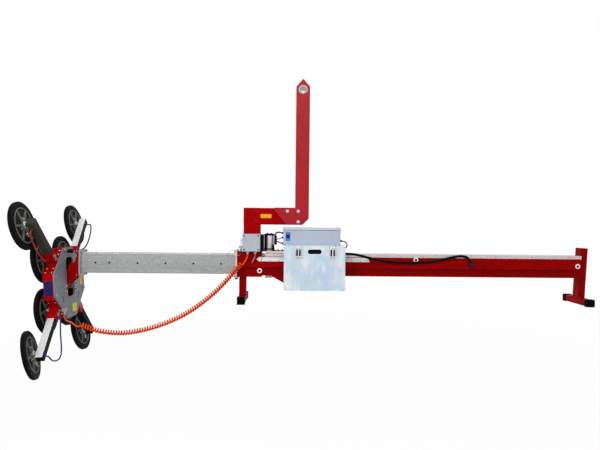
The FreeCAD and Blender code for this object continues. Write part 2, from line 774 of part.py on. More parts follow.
def cart_saddle():
    """Welded saddle round the beam: roof, side plates, floor, motor shelf and wings."""
    inner = CART_Y - CART_PLATE
    pieces = [block(CART_X, CART_END, -CART_Y, CART_Y, CART_ROOF, CART_TOP),
              block(CART_X, CART_END, -CART_Y, CART_Y, CART_FLOOR - CART_PLATE, CART_FLOOR)]
    for y0, y1 in both_sides(inner, CART_Y):
        pieces.append(block(CART_X, CART_END, y0, y1, CART_FLOOR, CART_ROOF))
    lug_y = WHEEL_W / 2 + LUG_GAP
    for x in wheel_places():
        for y0, y1 in both_sides(lug_y, lug_y + LUG_T):
            lug = join([block(x - LUG_R, x + LUG_R, y0, y1, WHEEL_Z, CART_ROOF),
                        rod(V(x, y0, WHEEL_Z), ALONG_Y, LUG_R, LUG_T)])
            pieces.append(lug.cut(rod(V(x, y0, WHEEL_Z), ALONG_Y, AXLE_R + RUN_FIT, LUG_T)))
    pieces.append(block(SHELF_X, CART_X, -SHELF_W / 2, SHELF_W / 2, SHELF_Z, SHELF_TOP))
    pieces.append(block(CART_X, CART_X + CART_PLATE, -SHELF_W / 2, SHELF_W / 2, SHELF_Z, CART_ROOF))
    top = FLOOR_Z - WING_GAP
    wing = [(WING_X, top), (CART_X, top), (CART_X, CART_FLOOR - CART_PLATE), (WING_X + WING_GAP, top - WING_GAP)]
    for y0, y1 in both_sides(WING_Y, WING_Y + WING_T):
        pieces.append(plate_y(wing, y0, y1))
    pieces.append(block(CART_X, CART_X + CART_PLATE, -inner, inner, CART_FLOOR, top))
    arm_z = roller_z() - ROLLER_ARM_H / 2
    arm = block(ROLLER_X - ROLLER_R, CART_X, WING_Y, WING_Y + WING_T, arm_z, arm_z + ROLLER_ARM_H)
    pieces.append(arm.cut(block(ROLLER_X - ROLLER_R, CART_X, WING_Y, WING_Y + WING_T, top, FLOOR_Z + WING_GAP)))
    body = join(pieces)
    for x in roller_places():
        body = body.cut(rod(V(x, WING_Y, roller_z()), ALONG_Y, ROLLER_AXLE_R + RUN_FIT, WING_T))
    return body


def cart_wheel(x):
    """Wheel with its axle, on the rail."""
    axle_y = WHEEL_W / 2 + LUG_GAP + LUG_T
    tread = rod(V(x, -WHEEL_W / 2, WHEEL_Z), ALONG_Y, WHEEL_R, WHEEL_W)
    axle = rod(V(x, -axle_y, WHEEL_Z), ALONG_Y, AXLE_R, 2 * axle_y)
    return join([tread, axle])


def lower_roller(x):
    """Guide roller under the beam, on a pin in the wing's arm."""
    back = WING_Y - WING_GAP
    tread = rod(V(x, back - ROLLER_W, roller_z()), ALONG_Y, ROLLER_R, ROLLER_W)
    pin = rod(V(x, back, roller_z()), ALONG_Y, ROLLER_AXLE_R, WING_GAP + WING_T)
    return join([tread, pin])


def counterweight_plates():
    """Steel plates hung side by side behind the saddle."""
    plates = []
    for count in range(WEIGHT_COUNT):
        y0 = CART_Y + count * WEIGHT_T
        plate = block(CART_X, CART_END, y0, y0 + WEIGHT_T, CART_TOP - WEIGHT_H, CART_TOP)
        plates.append(rounded(plate, ALONG_Y, WEIGHT_EDGE))
    return Part.makeCompound(plates)


def drive_motor():
    """Motor can that stands on the cart's shelf."""
    base = V(MOTOR_X, 0, SHELF_TOP)
    flange = rod(base, ALONG_Z, MOTOR_FLANGE_R, MOTOR_FLANGE_T)
    can = rod(base, ALONG_Z, MOTOR_R, MOTOR_H)
    cap = rod(base + V(0, 0, MOTOR_H), ALONG_Z, MOTOR_CAP_R, MOTOR_CAP_H)
    high = SHELF_TOP + MOTOR_H - TERMINAL_DROP
    terminal = block(MOTOR_X, MOTOR_X + MOTOR_R + TERMINAL_OUT, -TERMINAL_W / 2, TERMINAL_W / 2,
                     high - TERMINAL_H, high)
    return join([flange, can, cap, terminal])


def drive_gearbox():
    """Slim gearbox beside the motor, cut round its can."""
    body = block(SHELF_X, SHELF_X + GEARBOX_W, -GEARBOX_D / 2, GEARBOX_D / 2, SHELF_TOP, SHELF_TOP + GEARBOX_H)
    base = V(MOTOR_X, 0, SHELF_TOP)
    body = body.cut(rod(base, ALONG_Z, MOTOR_FLANGE_R, MOTOR_FLANGE_T))
    return body.cut(rod(base, ALONG_Z, MOTOR_R, MOTOR_H))


def control_box():
    """Hollow control box on the saddle's roof."""
    half = CONTROL_D / 2
    body = rounded(block(CONTROL_X, CONTROL_X + CONTROL_L, -half, half, CART_TOP, CART_TOP + CONTROL_H),
                   ALONG_Z, CONTROL_EDGE)
    inner = half - CONTROL_WALL
    return body.cut(block(CONTROL_X + CONTROL_WALL, CONTROL_X + CONTROL_L - CONTROL_WALL, -inner, inner,
                          CART_TOP + CONTROL_WALL, CART_TOP + CONTROL_H))


def control_box_lid():
    """Lid with a lip that stands out all round."""
    half = CONTROL_D / 2 + CONTROL_LIP
    z0 = CART_TOP + CONTROL_H
    lid = block(CONTROL_X - CONTROL_LIP, CONTROL_X + CONTROL_L + CONTROL_LIP, -half, half, z0, z0 + CONTROL_LID_H)
    return rounded(lid, ALONG_Z, CONTROL_EDGE)


def chest_body():
    """Sheet metal chest on the saddle's front plate, open at its front."""
    x1 = CHEST_X + CHEST_L
    body = block(CHEST_X, x1, CHEST_FRONT, CHEST_BACK, CHEST_FLOOR, CHEST_TOP)
    body = body.cut(block(CHEST_X + CHEST_WALL, x1 - CHEST_WALL, CHEST_FRONT, CHEST_BACK - CHEST_WALL,
                          CHEST_FLOOR + CHEST_WALL, CHEST_TOP - CHEST_WALL))
    pieces = [body]
    for x in (CHEST_X, x1 - KNUCKLE_L):
        pieces.append(rod(V(x, HINGE_Y, HINGE_Z), ALONG_X, HINGE_R, KNUCKLE_L))
        pieces.append(block(x, x + KNUCKLE_L, HINGE_Y, CHEST_FRONT, HINGE_Z - HINGE_R, HINGE_Z))
        pieces.append(block(x, x + KNUCKLE_L, CHEST_FRONT, CHEST_FRONT + KNUCKLE_L, HINGE_Z - HINGE_R, HINGE_Z))
    return join(pieces)


def chest_equipment():
    """Battery and vacuum pump on the chest's floor."""
    floor = CHEST_FLOOR + CHEST_WALL
    back = CHEST_BACK - CHEST_WALL
    x0 = CHEST_X + CHEST_WALL
    battery = block(x0, x0 + BATTERY_L, back - BATTERY_D, back, floor, floor + BATTERY_H)
    end = CHEST_X + CHEST_L - CHEST_WALL
    pump_y = back - PUMP_R
    pump = rod(V(end - PUMP_L, pump_y, floor + PUMP_R), ALONG_X, PUMP_R, PUMP_L)
    foot = block(end - PUMP_L, end, pump_y - PUMP_R / 2, pump_y + PUMP_R / 2, floor, floor + PUMP_R)
    return Part.makeCompound([battery, join([pump, foot])])


def latch_places():
    """Left edges of the two latches."""
    return LATCH_X - LATCH_W / 2, LATCH_X + LATCH_PITCH - LATCH_W / 2


def latch_pin():
    """Height and depth of the latches' pivot."""
    return DOOR_FRONT - LATCH_STAND, CHEST_TOP - LATCH_DROP - LATCH_H


def chest_door():
    """Front panel with a hand slot, latch ears and a hinge barrel at its foot."""
    x1 = CHEST_X + CHEST_L
    back = DOOR_FRONT + DOOR_T
    foot = HINGE_Z + HINGE_R + DOOR_GAP
    panel = block(CHEST_X, x1, DOOR_FRONT, back, foot, CHEST_TOP)
    inner0 = CHEST_X + KNUCKLE_L + SLIDE_FIT
    inner1 = x1 - KNUCKLE_L - SLIDE_FIT
    pieces = [panel, block(inner0, inner1, DOOR_FRONT, back, HINGE_Z, foot),
              rod(V(inner0, HINGE_Y, HINGE_Z), ALONG_X, HINGE_R, inner1 - inner0)]
    pin_y, pin_z = latch_pin()
    ear_r = LATCH_PIN_R + LATCH_BASE_T
    for x in latch_places():
        pieces.append(block(x - LATCH_EAR, x + LATCH_W + LATCH_EAR, DOOR_FRONT - LATCH_BASE_T, DOOR_FRONT,
                            pin_z - ear_r, pin_z + LATCH_H))
        for ear_x in (x - LATCH_EAR, x + LATCH_W + SLIDE_FIT):
            length = LATCH_EAR - SLIDE_FIT
            ear = join([rod(V(ear_x, pin_y, pin_z), ALONG_X, ear_r, length),
                        block(ear_x, ear_x + length, pin_y, DOOR_FRONT, pin_z - ear_r, pin_z + ear_r)])
            pieces.append(ear.cut(rod(V(ear_x, pin_y, pin_z), ALONG_X, LATCH_PIN_R + RUN_FIT, length)))
    body = join(pieces)
    slot_x = CHEST_X + CHEST_L / 2
    slot_z = CHEST_TOP - SLOT_DROP
    half = SLOT_H / 2
    reach = SLOT_L / 2 - half
    slot = [block(slot_x - reach, slot_x + reach, DOOR_FRONT, back, slot_z - half, slot_z + half)]
    for side in (-reach, reach):
        slot.append(rod(V(slot_x + side, DOOR_FRONT, slot_z), ALONG_Y, half, DOOR_T))
    return body.cut(join(slot))


def latch(x):
    """Toggle lever on its pin."""
    pin_y, pin_z = latch_pin()
    lever = block(x, x + LATCH_W, pin_y - LATCH_T / 2, pin_y + LATCH_T / 2, pin_z, pin_z + LATCH_H)
    barrel = rod(V(x, pin_y, pin_z), ALONG_X, LATCH_PIN_R + LATCH_BASE_T, LATCH_W)
    pin = rod(V(x - LATCH_EAR, pin_y, pin_z), ALONG_X, LATCH_PIN_R, LATCH_W + 2 * LATCH_EAR)
    return join([lever, barrel, pin])


def arm_plate_outline():
    """End plate of the arm and of the bracket in (y, z)."""
    half = ARM_PLATE_W / 2
    low = BEAM_Z - ARM_PLATE_BELOW
    high = BEAM_Z + ARM_PLATE_ABOVE
    return [(-half, low), (half, low), (half, high), (-half, high)]


def arm_bolt_places():
    """Places (y, z) of the bolts between arm and bracket."""
    levels = (BEAM_Z + ARM_PLATE_ABOVE - ARM_BOLT_EDGE, BEAM_Z - ARM_PLATE_BELOW + ARM_BOLT_EDGE)
    aside = BRACKET_Y_OUT + ARM_BOLT_CLEAR + ARM_BOLT_HEAD / math.sqrt(3)
    return [(y, z) for y in (-aside, aside) for z in levels]


def drilled_for_arm_bolts(body):
    """Cut the holes of the arm's end bolts."""
    start = ARM_HEAD_X - ARM_PLATE_T
    for y, z in arm_bolt_places():
        body = body.cut(rod(V(start, y, z), ALONG_X, ARM_BOLT_R + HOLE_FIT, 2 * ARM_PLATE_T))
    return body


def extension_arm():
    """Box tube with round pin holes along its sides, square ones along its top, and an end plate."""
    x0 = ARM_HEAD_X + ARM_PLATE_T
    half_y = ARM_W / 2
    half_z = ARM_H / 2
    body = rounded(block(x0, ARM_TAIL_X, -half_y, half_y, BEAM_Z - half_z, BEAM_Z + half_z), ALONG_X, ARM_CORNER)
    body = body.cut(block(x0, ARM_TAIL_X, ARM_WALL - half_y, half_y - ARM_WALL,
                          BEAM_Z - half_z + ARM_WALL, BEAM_Z + half_z - ARM_WALL))
    side_holes = [HOLE_X - HOLE_PITCH * count for count in range(HOLE_COUNT)]
    side_holes.append(side_holes[-1] - END_HOLE_BACK)
    for x in side_holes:
        body = body.cut(rod(V(x, -half_y, BEAM_Z), ALONG_Y, HOLE_R, ARM_W))
    inner_y = half_y - ARM_WALL
    roof = BEAM_Z + half_z - ARM_WALL
    square = LOCK_R + LOCK_HOLE_FIT
    strips = []
    for count in range(HOLE_COUNT):
        x = LOCK_X - HOLE_PITCH * count
        body = body.cut(block(x - square, x + square, -square, square, roof, ARM_TOP))
        for y0, y1 in both_sides(square, inner_y):
            strips.append(block(x - square, x + square, y0, y1, roof, ARM_TOP))
    strips.append(block(x0, ARM_TAIL_X, -inner_y, inner_y, roof, ARM_TOP))
    strips.append(block(x0, ARM_TAIL_X, -inner_y, inner_y, BEAM_Z - half_z, roof))
    strips.append(block(x0, ARM_TAIL_X, -half_y, -inner_y, BEAM_Z - half_z, ARM_TOP))
    plate = drilled_for_arm_bolts(plate_x(arm_plate_outline(), ARM_HEAD_X, x0))
    return Part.makeCompound(parted(body, strips).Solids + [plate])


def head_bracket():
    """Two cheeks from a bolted plate down to the tilt axis, joined by a boss."""
    x1 = ARM_HEAD_X
    x0 = x1 - ARM_PLATE_T
    top = BEAM_Z + ARM_PLATE_ABOVE - BRACKET_TOP_DROP
    low = PIVOT_Z + BRACKET_TOE_RISE
    arch = PIVOT_X + 2 * BOSS_R
    outline = [(x0, top), (x0 - BOSS_R, BEAM_Z), (arch, BEAM_Z), (PIVOT_X - BOSS_R, PIVOT_Z),
               (PIVOT_X, PIVOT_Z - BOSS_R), (x0, low)]
    pieces = [plate_x(arm_plate_outline(), x0, x1)]
    for y0, y1 in both_sides(BRACKET_Y_OUT - BRACKET_CHEEK, BRACKET_Y_OUT):
        pieces.append(plate_y(outline, y0, y1))
    pieces.append(rod(V(PIVOT_X, -BRACKET_Y_OUT, PIVOT_Z), ALONG_Y, BOSS_R, 2 * BRACKET_Y_OUT))
    body = join(pieces)
    body = body.cut(rod(V(PIVOT_X, -BRACKET_Y_OUT, PIVOT_Z), ALONG_Y, PIVOT_R + RUN_FIT, 2 * BRACKET_Y_OUT))
    return drilled_for_arm_bolts(body)


def flange_bolts():
    """Bolts that hold the bracket on the arm."""
    bolts = []
    x0 = ARM_HEAD_X - ARM_PLATE_T
    x1 = ARM_HEAD_X + ARM_PLATE_T
    for y, z in arm_bolt_places():
        shank = rod(V(x0, y, z), ALONG_X, ARM_BOLT_R, x1 - x0)
        head = hexagon(V(x0 - ARM_BOLT_HEAD_T, y, z), ALONG_X, ARM_BOLT_HEAD, ARM_BOLT_HEAD_T)
        nut = hexagon(V(x1, y, z), ALONG_X, ARM_BOLT_HEAD, ARM_BOLT_HEAD_T)
        bolts.append(join([shank, head, nut]))
    return Part.makeCompound(bolts)


def tilt_pin():
    """Pin of the tilt axis through bracket and yoke."""
    reach = YOKE_Y + YOKE_T
    return rod(V(PIVOT_X, -reach, PIVOT_Z), ALONG_Y, PIVOT_R, 2 * reach)


def slot_y(y, z, half_length, radius, x0, x1, tilt):
    """Round ended slot through a plate across X, tilted about X."""
    body = [block(x0, x1, -radius, radius, -half_length, half_length)]
    for end in (-half_length, half_length):
        body.append(rod(V(x0, 0, end), ALONG_X, radius, x1 - x0))
    slot = join(body)
    slot.rotate(V(0, 0, 0), ALONG_X, tilt)
    slot.translate(V(0, y, z))
    return slot


def back_plate():
    """Octagon plate with the bracket's slot, the tilt yoke and the turning spindle."""
    plate = plate_x(octagon(0), PLATE_FRONT, PLATE_X)
    hole = block(PLATE_FRONT, PLATE_X, -PLATE_SLOT_W / 2, PLATE_SLOT_W / 2,
                 HEAD_Z - PLATE_SLOT_DOWN, HEAD_Z + PLATE_SLOT_UP)
    plate = plate.cut(rounded(hole, ALONG_X, PLATE_SLOT_R))
    for side in SIDES.values():
        plate = plate.cut(slot_y(side * ARC_SLOT_Y, HEAD_Z + ARC_SLOT_Z, ARC_SLOT_L / 2, ARC_SLOT_R,
                                 PLATE_FRONT, PLATE_X, -side * ARC_SLOT_TILT))
    wide = PLATE_SLOT_W / 2 + YOKE_T
    pieces = [plate]
    for y0, y1 in both_sides(YOKE_Y, YOKE_Y + YOKE_T):
        pieces.append(block(DISC_X, PLATE_FRONT, y0, y1, PIVOT_Z - YOKE_H / 2, PIVOT_Z + YOKE_H / 2))
    for y0, y1 in both_sides(YOKE_Y, wide):
        pieces.append(block(PLATE_FRONT - YOKE_T, PLATE_FRONT, y0, y1,
                            PIVOT_Z - YOKE_H / 2, PIVOT_Z + YOKE_H / 2))
    pieces.append(rod(V(DISC_X - DISC_T, 0, HEAD_Z), ALONG_X, DISC_R, DISC_T))
    spindle_x = HOUSING_FRONT - SLIDE_FIT
    pieces.append(rod(V(spindle_x, 0, HEAD_Z), ALONG_X, SPINDLE_R, DISC_X - DISC_T - spindle_x))
    pieces.append(rod(V(spindle_x - SPINDLE_CAP_T, 0, HEAD_Z), ALONG_X, SPINDLE_CAP_R, SPINDLE_CAP_T))
    body = join(pieces)
    reach = YOKE_Y + YOKE_T
    return body.cut(rod(V(PIVOT_X, -reach, PIVOT_Z), ALONG_Y, PIVOT_R + RUN_FIT, 2 * reach))


def lock_knob():
    """Knob of the turning lock at the plate's top."""
    return rod(V(PLATE_X, 0, HEAD_Z + KNOB_Z), ALONG_X, KNOB_R, KNOB_H)


def head_lean():
    """The head's lean about the tilt axis."""
    return FreeCAD.Placement(V(0, 0, 0), FreeCAD.Rotation(ALONG_Y, -HEAD_LEAN), V(PIVOT_X, 0, PIVOT_Z))


def leaned(shape):
    """A piece of the head, leaned about the tilt axis."""
    turned = shape.copy()
    turned.rotate(V(PIVOT_X, 0, PIVOT_Z), ALONG_Y, -HEAD_LEAN)
    return turned


def fitting_nose():
    """Point where the spiral hose meets the head's fitting."""
    return V(PLATE_X + FITTING / 2, FITTING_Y, HEAD_Z + FITTING_Z - FITTING / 2 - FITTING_NOSE_L)


def hose_fitting():
    """Elbow block on the back plate with a nose that points down."""
    y, z = FITTING_Y, HEAD_Z + FITTING_Z
    half = FITTING / 2
    cube = block(PLATE_X, PLATE_X + FITTING, y - half, y + half, z - half, z + half)
    return join([cube, rod(fitting_nose(), ALONG_Z, FITTING_NOSE_R, FITTING_NOSE_L)])


def diagonal(shape, side, level):
    """Turn a shape drawn along +Y into one of the head's four diagonals."""
    turned = shape.copy()
    angle = EXT_TILT * level if side > 0 else 180 - EXT_TILT * level
    turned.rotate(V(0, 0, 0), ALONG_X, angle)
    turned.translate(V(0, 0, HEAD_Z))
    return turned


def square_along_y(size, y0, y1):
    """Square bar on the extension arms' plane, along +Y."""
    half = size / 2
    return block(EXT_X - half, EXT_X + half, y0, y1, -half, half)


def socket_half():
    """Half of a socket's outer width."""
    return EXT / 2 + SLIDE_FIT + EXT_SOCKET_WALL


def main_pad_places():
    """Ball places of the main pads."""
    return {f"{near}_{level}": V(PAD_BALL_X, SIDES[near] * MAIN_PAD_Y, HEAD_Z + LEVELS[level] * MAIN_PAD_Z)
            for near in SIDES for level in LEVELS}


def outer_pad_places():
    """Ball places of the pads on the extension arms."""
    across = EXT_PAD_R * math.cos(math.radians(EXT_TILT))
    up = EXT_PAD_R * math.sin(math.radians(EXT_TILT))
    return {f"{near}_{level}": V(PAD_BALL_X, SIDES[near] * across, HEAD_Z + LEVELS[level] * up)
            for near in SIDES for level in LEVELS}


def head_housing():
    """Octagon pan that turns on the spindle, with a socket on each diagonal."""
    shell = plate_x(octagon(0), HOUSING_FRONT, HOUSING_BACK)
    shell = shell.cut(plate_x(octagon(HOUSING_WALL), HOUSING_INSIDE, HOUSING_BACK))
    inner = EXT + 2 * SLIDE_FIT
    outer = inner + 2 * EXT_SOCKET_WALL
    pieces = [shell]
    for place in main_pad_places().values():
        pieces.append(rod(V(HOUSING_FRONT, place.y, place.z), ALONG_X, TAB_R, HOUSING_FRONT_T))
    for side in SIDES.values():
        for level in LEVELS.values():
            pieces.append(diagonal(square_along_y(outer, EXT_SOCKET_IN, EXT_SOCKET_OUT), side, level))
    body = join(pieces)
    for side in SIDES.values():
        for level in LEVELS.values():
            body = body.cut(diagonal(square_along_y(inner, EXT_SOCKET_IN, EXT_SOCKET_OUT), side, level))
    return body.cut(rod(V(HOUSING_FRONT, 0, HEAD_Z), ALONG_X, SPINDLE_R + RUN_FIT, HOUSING_FRONT_T))


def ball_stud(place, seat_x):
    """Ball on a neck that stands on a face at seat_x, turned as one piece."""
    neck_x = math.sqrt(BALL_R ** 2 - STUD_R ** 2)
    length = seat_x - place.x
    tip = V(-BALL_R, 0, 0)
    corners = [V(neck_x, 0, STUD_R), V(length, 0, STUD_R), V(length, 0, 0), tip]
    edges = [Part.Arc(tip, V(0, 0, BALL_R), corners[0]).toShape()]
    edges += [Part.LineSegment(a, b).toShape() for a, b in zip(corners, corners[1:])]
    stud = Part.Face(Part.Wire(edges)).revolve(V(0, 0, 0), ALONG_X, 360)
    stud.translate(place)
    return stud


def pad_studs():
    """Ball studs of the main pads."""
    return Part.makeCompound([ball_stud(place, HOUSING_FRONT) for place in main_pad_places().values()])


def extension(near, level):
    """Square tube on a diagonal with its ball stud."""
    bar = square_along_y(EXT, EXT_INNER, EXT_OUTER).cut(square_along_y(EXT - 2 * EXT_WALL, EXT_INNER, EXT_OUTER))
    cap = square_along_y(EXT, EXT_OUTER, EXT_OUTER + EXT_WALL)
    place = outer_pad_places()[f"{near}_{level}"]
    bar = diagonal(join([bar, cap]), SIDES[near], LEVELS[level])
    return join([bar, ball_stud(place, EXT_X - EXT / 2)])


def pad(place, droop, turn=0):
    """Rubber seal ring and ribbed cast plate, hung on a ball and drooping on its stop."""
    skirt = tube(V(-PAD_DEPTH, 0, 0), ALONG_X, PAD_R, PAD_PLATE_R + HOLE_FIT, PAD_DEPTH - PAD_SKIRT_BACK)
    lip = tube(V(-PAD_DEPTH, 0, 0), ALONG_X, PAD_R, PAD_LIP_R, PAD_LIP_T)
    seal = join([skirt, lip])
    plate_x0 = PAD_LIP_T - PAD_DEPTH
    plate_x1 = plate_x0 + PAD_PLATE_T
    pieces = [rod(V(plate_x0, 0, 0), ALONG_X, PAD_PLATE_R, PAD_PLATE_T),
              tube(V(plate_x1, 0, 0), ALONG_X, PAD_PLATE_R, PAD_PLATE_R - PAD_RIM, PAD_RIB_H),
              rod(V(plate_x0, 0, 0), ALONG_X, PAD_HUB_R, PAD_HUB_BACK - plate_x0)]
    for step in range(PAD_RIBS):
        rib = block(plate_x1, plate_x1 + PAD_RIB_H, -PAD_RIB_W / 2, PAD_RIB_W / 2, 0, PAD_PLATE_R - PAD_RIM / 2)
        rib.rotate(V(0, 0, 0), ALONG_X, step * 360 / PAD_RIBS)
        pieces.append(rib)
    plate = join(pieces)
    socket_r = BALL_R + BALL_FIT
    plate = plate.cut(rod(V(0, 0, 0), ALONG_X, socket_r, PAD_HUB_BACK))
    plate = plate.cut(Part.makeSphere(socket_r, V(0, 0, 0)))
    both = Part.makeCompound([seal, plate])
    both.rotate(V(0, 0, 0), ALONG_Y, -droop)
    both.rotate(V(0, 0, 0), ALONG_Z, turn)
    both.translate(place)
    return both


def bend_point(before, corner, after):
    """Tangent arc at a corner of a route: its start, middle, end and radius."""
    back = before.sub(corner)
    on = after.sub(corner)
    cut = 0.45 * min(back.Length, on.Length)
    back.normalize()
    on.normalize()
    half = back.getAngle(on) / 2
    radius = cut * math.tan(half)
    middle_way = (back + on).normalize()
    centre_gap = radius / math.sin(half)
    return (corner + back * cut, corner + middle_way * (centre_gap - radius), corner + on * cut, radius)


def route_wire(points):
    """Straight runs joined by tangent arcs; returns the wire and its bend radii."""
    edges = []
    radii = []
    last = points[0]
    for before, corner, after in zip(points, points[1:], points[2:]):
        start, middle, end, radius = bend_point(before, corner, after)
        edges.append(Part.LineSegment(last, start).toShape())
        edges.append(Part.Arc(start, middle, end).toShape())
        radii.append(radius)
        last = end
    edges.append(Part.LineSegment(last, points[-1]).toShape())
    return Part.Wire(edges), radii


def cord(name, places, radius):
    """Round cord along a route; prints its length, tightest bend and volume ratio."""
    points = [V(*place) for place in places]
    wire, radii = route_wire(points)
    solid = sweep(wire, points[0], points[1].sub(points[0]), radius)
    ratio = solid.Volume / (math.pi * radius ** 2 * wire.Length)
    print(f"{name}: length {wire.Length:.0f}, radii {[round(r) for r in radii]}, volume ratio {ratio:.4f}")
    return solid


def sweep(wire, start, way, radius):
    """Round tube along a wire."""
    ring = Part.Wire(Part.makeCircle(radius, start, way))
    return wire.makePipeShell([ring], True, False)


# Routes of the leads, chosen by hand along what the photograph shows
CART_CABLE = [(296, -172, -1168), (344, -172, -1168), (410, -156, -1180), (480, -124, -1200), (556, -98, -1218),
              (645, -84, -1230), (742, -79, -1236), (850, -79, -1234), (950, -79, -1223), (1036, -79, -1206),
              (1100, -79, -1189), (1156, -79, -1180), (1205, -79, -1195), (1220, -79, -1232)]
LANYARD = [(-434, -33.5, -1146), (-434, -49, -1146), (-445, -66, -1149), (-466, -79, -1152), (-490, -87, -1156),
           (-514, -92, -1163), (-530, -94, -1176), (-530, -95, -1191), (-514, -95, -1201), (-490, -94, -1204),
           (-464, -91, -1199), (-444, -85, -1189), (-432, -75, -1180), (-432, -62, -1180)]
THIN_LEAD = [(-331, -92, -1178), (-331, -92, -1192), (-337, -92, -1209), (-345, -91, -1224), (-352, -87, -1237),
             (-356, -78, -1244), (-356, -62, -1244)]
UPPER_LEAD = [(-132, -10, -1030), (-146, -10, -1030), (-160, -10, -1025), (-174, -10, -1025), (-186, -10, -1030),
              (-190, -10, -1040), (-190, -10, -1050)]
MIDDLE_LEAD = [(-132, 8, -1064), (-144, 8, -1064), (-157, 8, -1070), (-169, 8, -1076), (-181, 8, -1076)]
LOWER_LEAD = [(-132, -8, -1106), (-144, -8, -1106), (-157, -8, -1100), (-169, -8, -1094), (-181, -8, -1094)]
CHEST_LEAD = [(276, -86, -1082), (291, -86, -1082), (306, -89, -1085), (318, -95, -1094), (323, -102, -1107),
              (320, -108, -1121), (310, -111, -1130), (296, -111, -1130)]
# Pad hoses: away from the socket's face, outward and up or down; the side hose away, outward and forward
HANGING_HOSE = [(0, 0, 0), (15, 0, 0), (25, 5, 11), (27, 13, 38), (26, 19, 80), (27, 23, 130), (29, 27, 180),
                (31, 34, 224), (33, 56, 255), (32, 98, 267), (30, 146, 262), (26, 187, 243), (21, 210, 210)]
BOWED_HOSE = [(0, 0, 0), (19, 0, 0), (36, 4, 5), (49, 15, 17), (58, 33, 38), (63, 60, 71), (64, 91, 108),
              (61, 123, 144), (53, 153, 173), (39, 177, 191), (23, 193, 193)]
SIDE_HOSE = [(0, 0, 0), (21, 0, 0), (37, 12, 3), (47, 45, 8), (49, 100, 13), (45, 160, 16), (38, 215, 16),
             (29, 252, 13), (17, 272, 10)]
SPIRAL_ROUTE = [(-428, -110, -1247), (-496, -112, -1329), (-598, -118, -1441), (-701, -123, -1527),
                (-811, -129, -1604), (-938, -136, -1664), (-1065, -142, -1707), (-1191, -149, -1733),
                (-1291, -154, -1737), (-1374, -158, -1728), (-1449, -162, -1712), (-1525, -166, -1677)]
SPIRAL_TAIL = (-1594, -174, -1658)


def along(places):
    """Direction of a route's last run."""
    return V(*places[-1]).sub(V(*places[-2])).normalize()


def cart_cable():
    """Trailing cable from the chest to its clip on the beam."""
    return cord("cart_cable", CART_CABLE, CABLE_R)


def cable_clip():
    """Clip on the beam's front that takes the end of the trailing cable."""
    end = V(*CART_CABLE[-1])
    nose = rod(end, along(CART_CABLE), CABLE_R + CLIP_WALL, CLIP_L)
    seat = end + along(CART_CABLE) * CLIP_L
    foot = block(seat.x - CLIP_W / 2, seat.x + CLIP_W / 2, end.y - CABLE_R, -BAND_Y,
                 seat.z - CLIP_W / 2, seat.z + CLIP_WALL)
    return join([nose, foot])


def thin_leads():
    """Sensor lead to the sleeve, and the wire lanyard of the hose."""
    return Part.makeCompound([cord("thin_lead", THIN_LEAD, THIN_R), cord("lanyard", LANYARD, WIRE_R)])


def cart_leads():
    """Leads between the control box, the motor and the chest."""
    routes = {"upper_lead": UPPER_LEAD, "middle_lead": MIDDLE_LEAD, "lower_lead": LOWER_LEAD, "chest_lead": CHEST_LEAD}
    return Part.makeCompound([cord(name, route, THIN_R) for name, route in routes.items()])


def pad_hose(near, level, steps):
    """Vacuum hose from a socket's back to its extension arm's back."""
    slant = (EXT_SOCKET_OUT - HOSE_IN) * math.sqrt(0.5)
    base = V(EXT_X + socket_half(), SIDES[near] * slant, HEAD_Z + LEVELS[level] * slant)
    places = [base + V(back, SIDES[near] * out, LEVELS[level] * rise) for back, out, rise in steps]
    places.append(V(EXT_X + EXT / 2, places[-1].y, places[-1].z))
    return cord(f"pad_hose_{near}_{level}", places, PAD_HOSE_R)


def side_hose(near, level):
    """Vacuum hose from a socket's side to its extension arm's side."""
    start = EXT_SOCKET_OUT - SIDE_HOSE_IN
    places = [(EXT_X - ahead, start + out, socket_half() + away) for away, out, ahead in SIDE_HOSE]
    places.append((places[-1][0], places[-1][1], EXT / 2))
    return diagonal(cord(f"side_hose_{near}_{level}", places, PAD_HOSE_R), SIDES[near], LEVELS[level])


def pad_hoses():
    """Vacuum hoses that show on the head."""
    return Part.makeCompound([side_hose("near", "upper"), pad_hose("near", "lower", HANGING_HOSE),
                              pad_hose("far", "upper", BOWED_HOSE)])


def arc_from(start, way, end):
    """Arc that leaves start along a direction and ends at a point."""
    chord = end.sub(start)
    line = V(chord).normalize()
    aside = way.sub(line * way.dot(line))
    lift = chord.Length / 2 * math.tan(way.getAngle(line) / 2)
    return Part.Arc(start, start + chord * 0.5 + aside.normalize() * lift, end).toShape()


def biarc(start, start_way, end, end_way):
    """Two arcs that leave and arrive along given directions, with equal handles."""
    gap = end.sub(start)
    both = start_way + end_way
    square = 2 * (1 - start_way.dot(end_way))
    linear = 2 * gap.dot(both)
    reach = (math.sqrt(linear ** 2 + 4 * square * gap.dot(gap)) - linear) / (2 * square)
    joint = (start + end + (start_way - end_way) * reach) * 0.5
    return [arc_from(start, start_way, joint), reverse_arc(joint, end, end_way)]


def reverse_arc(start, end, way):
    """Arc from start that arrives at end along a direction."""
    chord = end.sub(start)
    line = V(chord).normalize()
    aside = line * way.dot(line) - way
    lift = chord.Length / 2 * math.tan(way.getAngle(line) / 2)
    return Part.Arc(start, start + chord * 0.5 + aside.normalize() * lift, end).toShape()


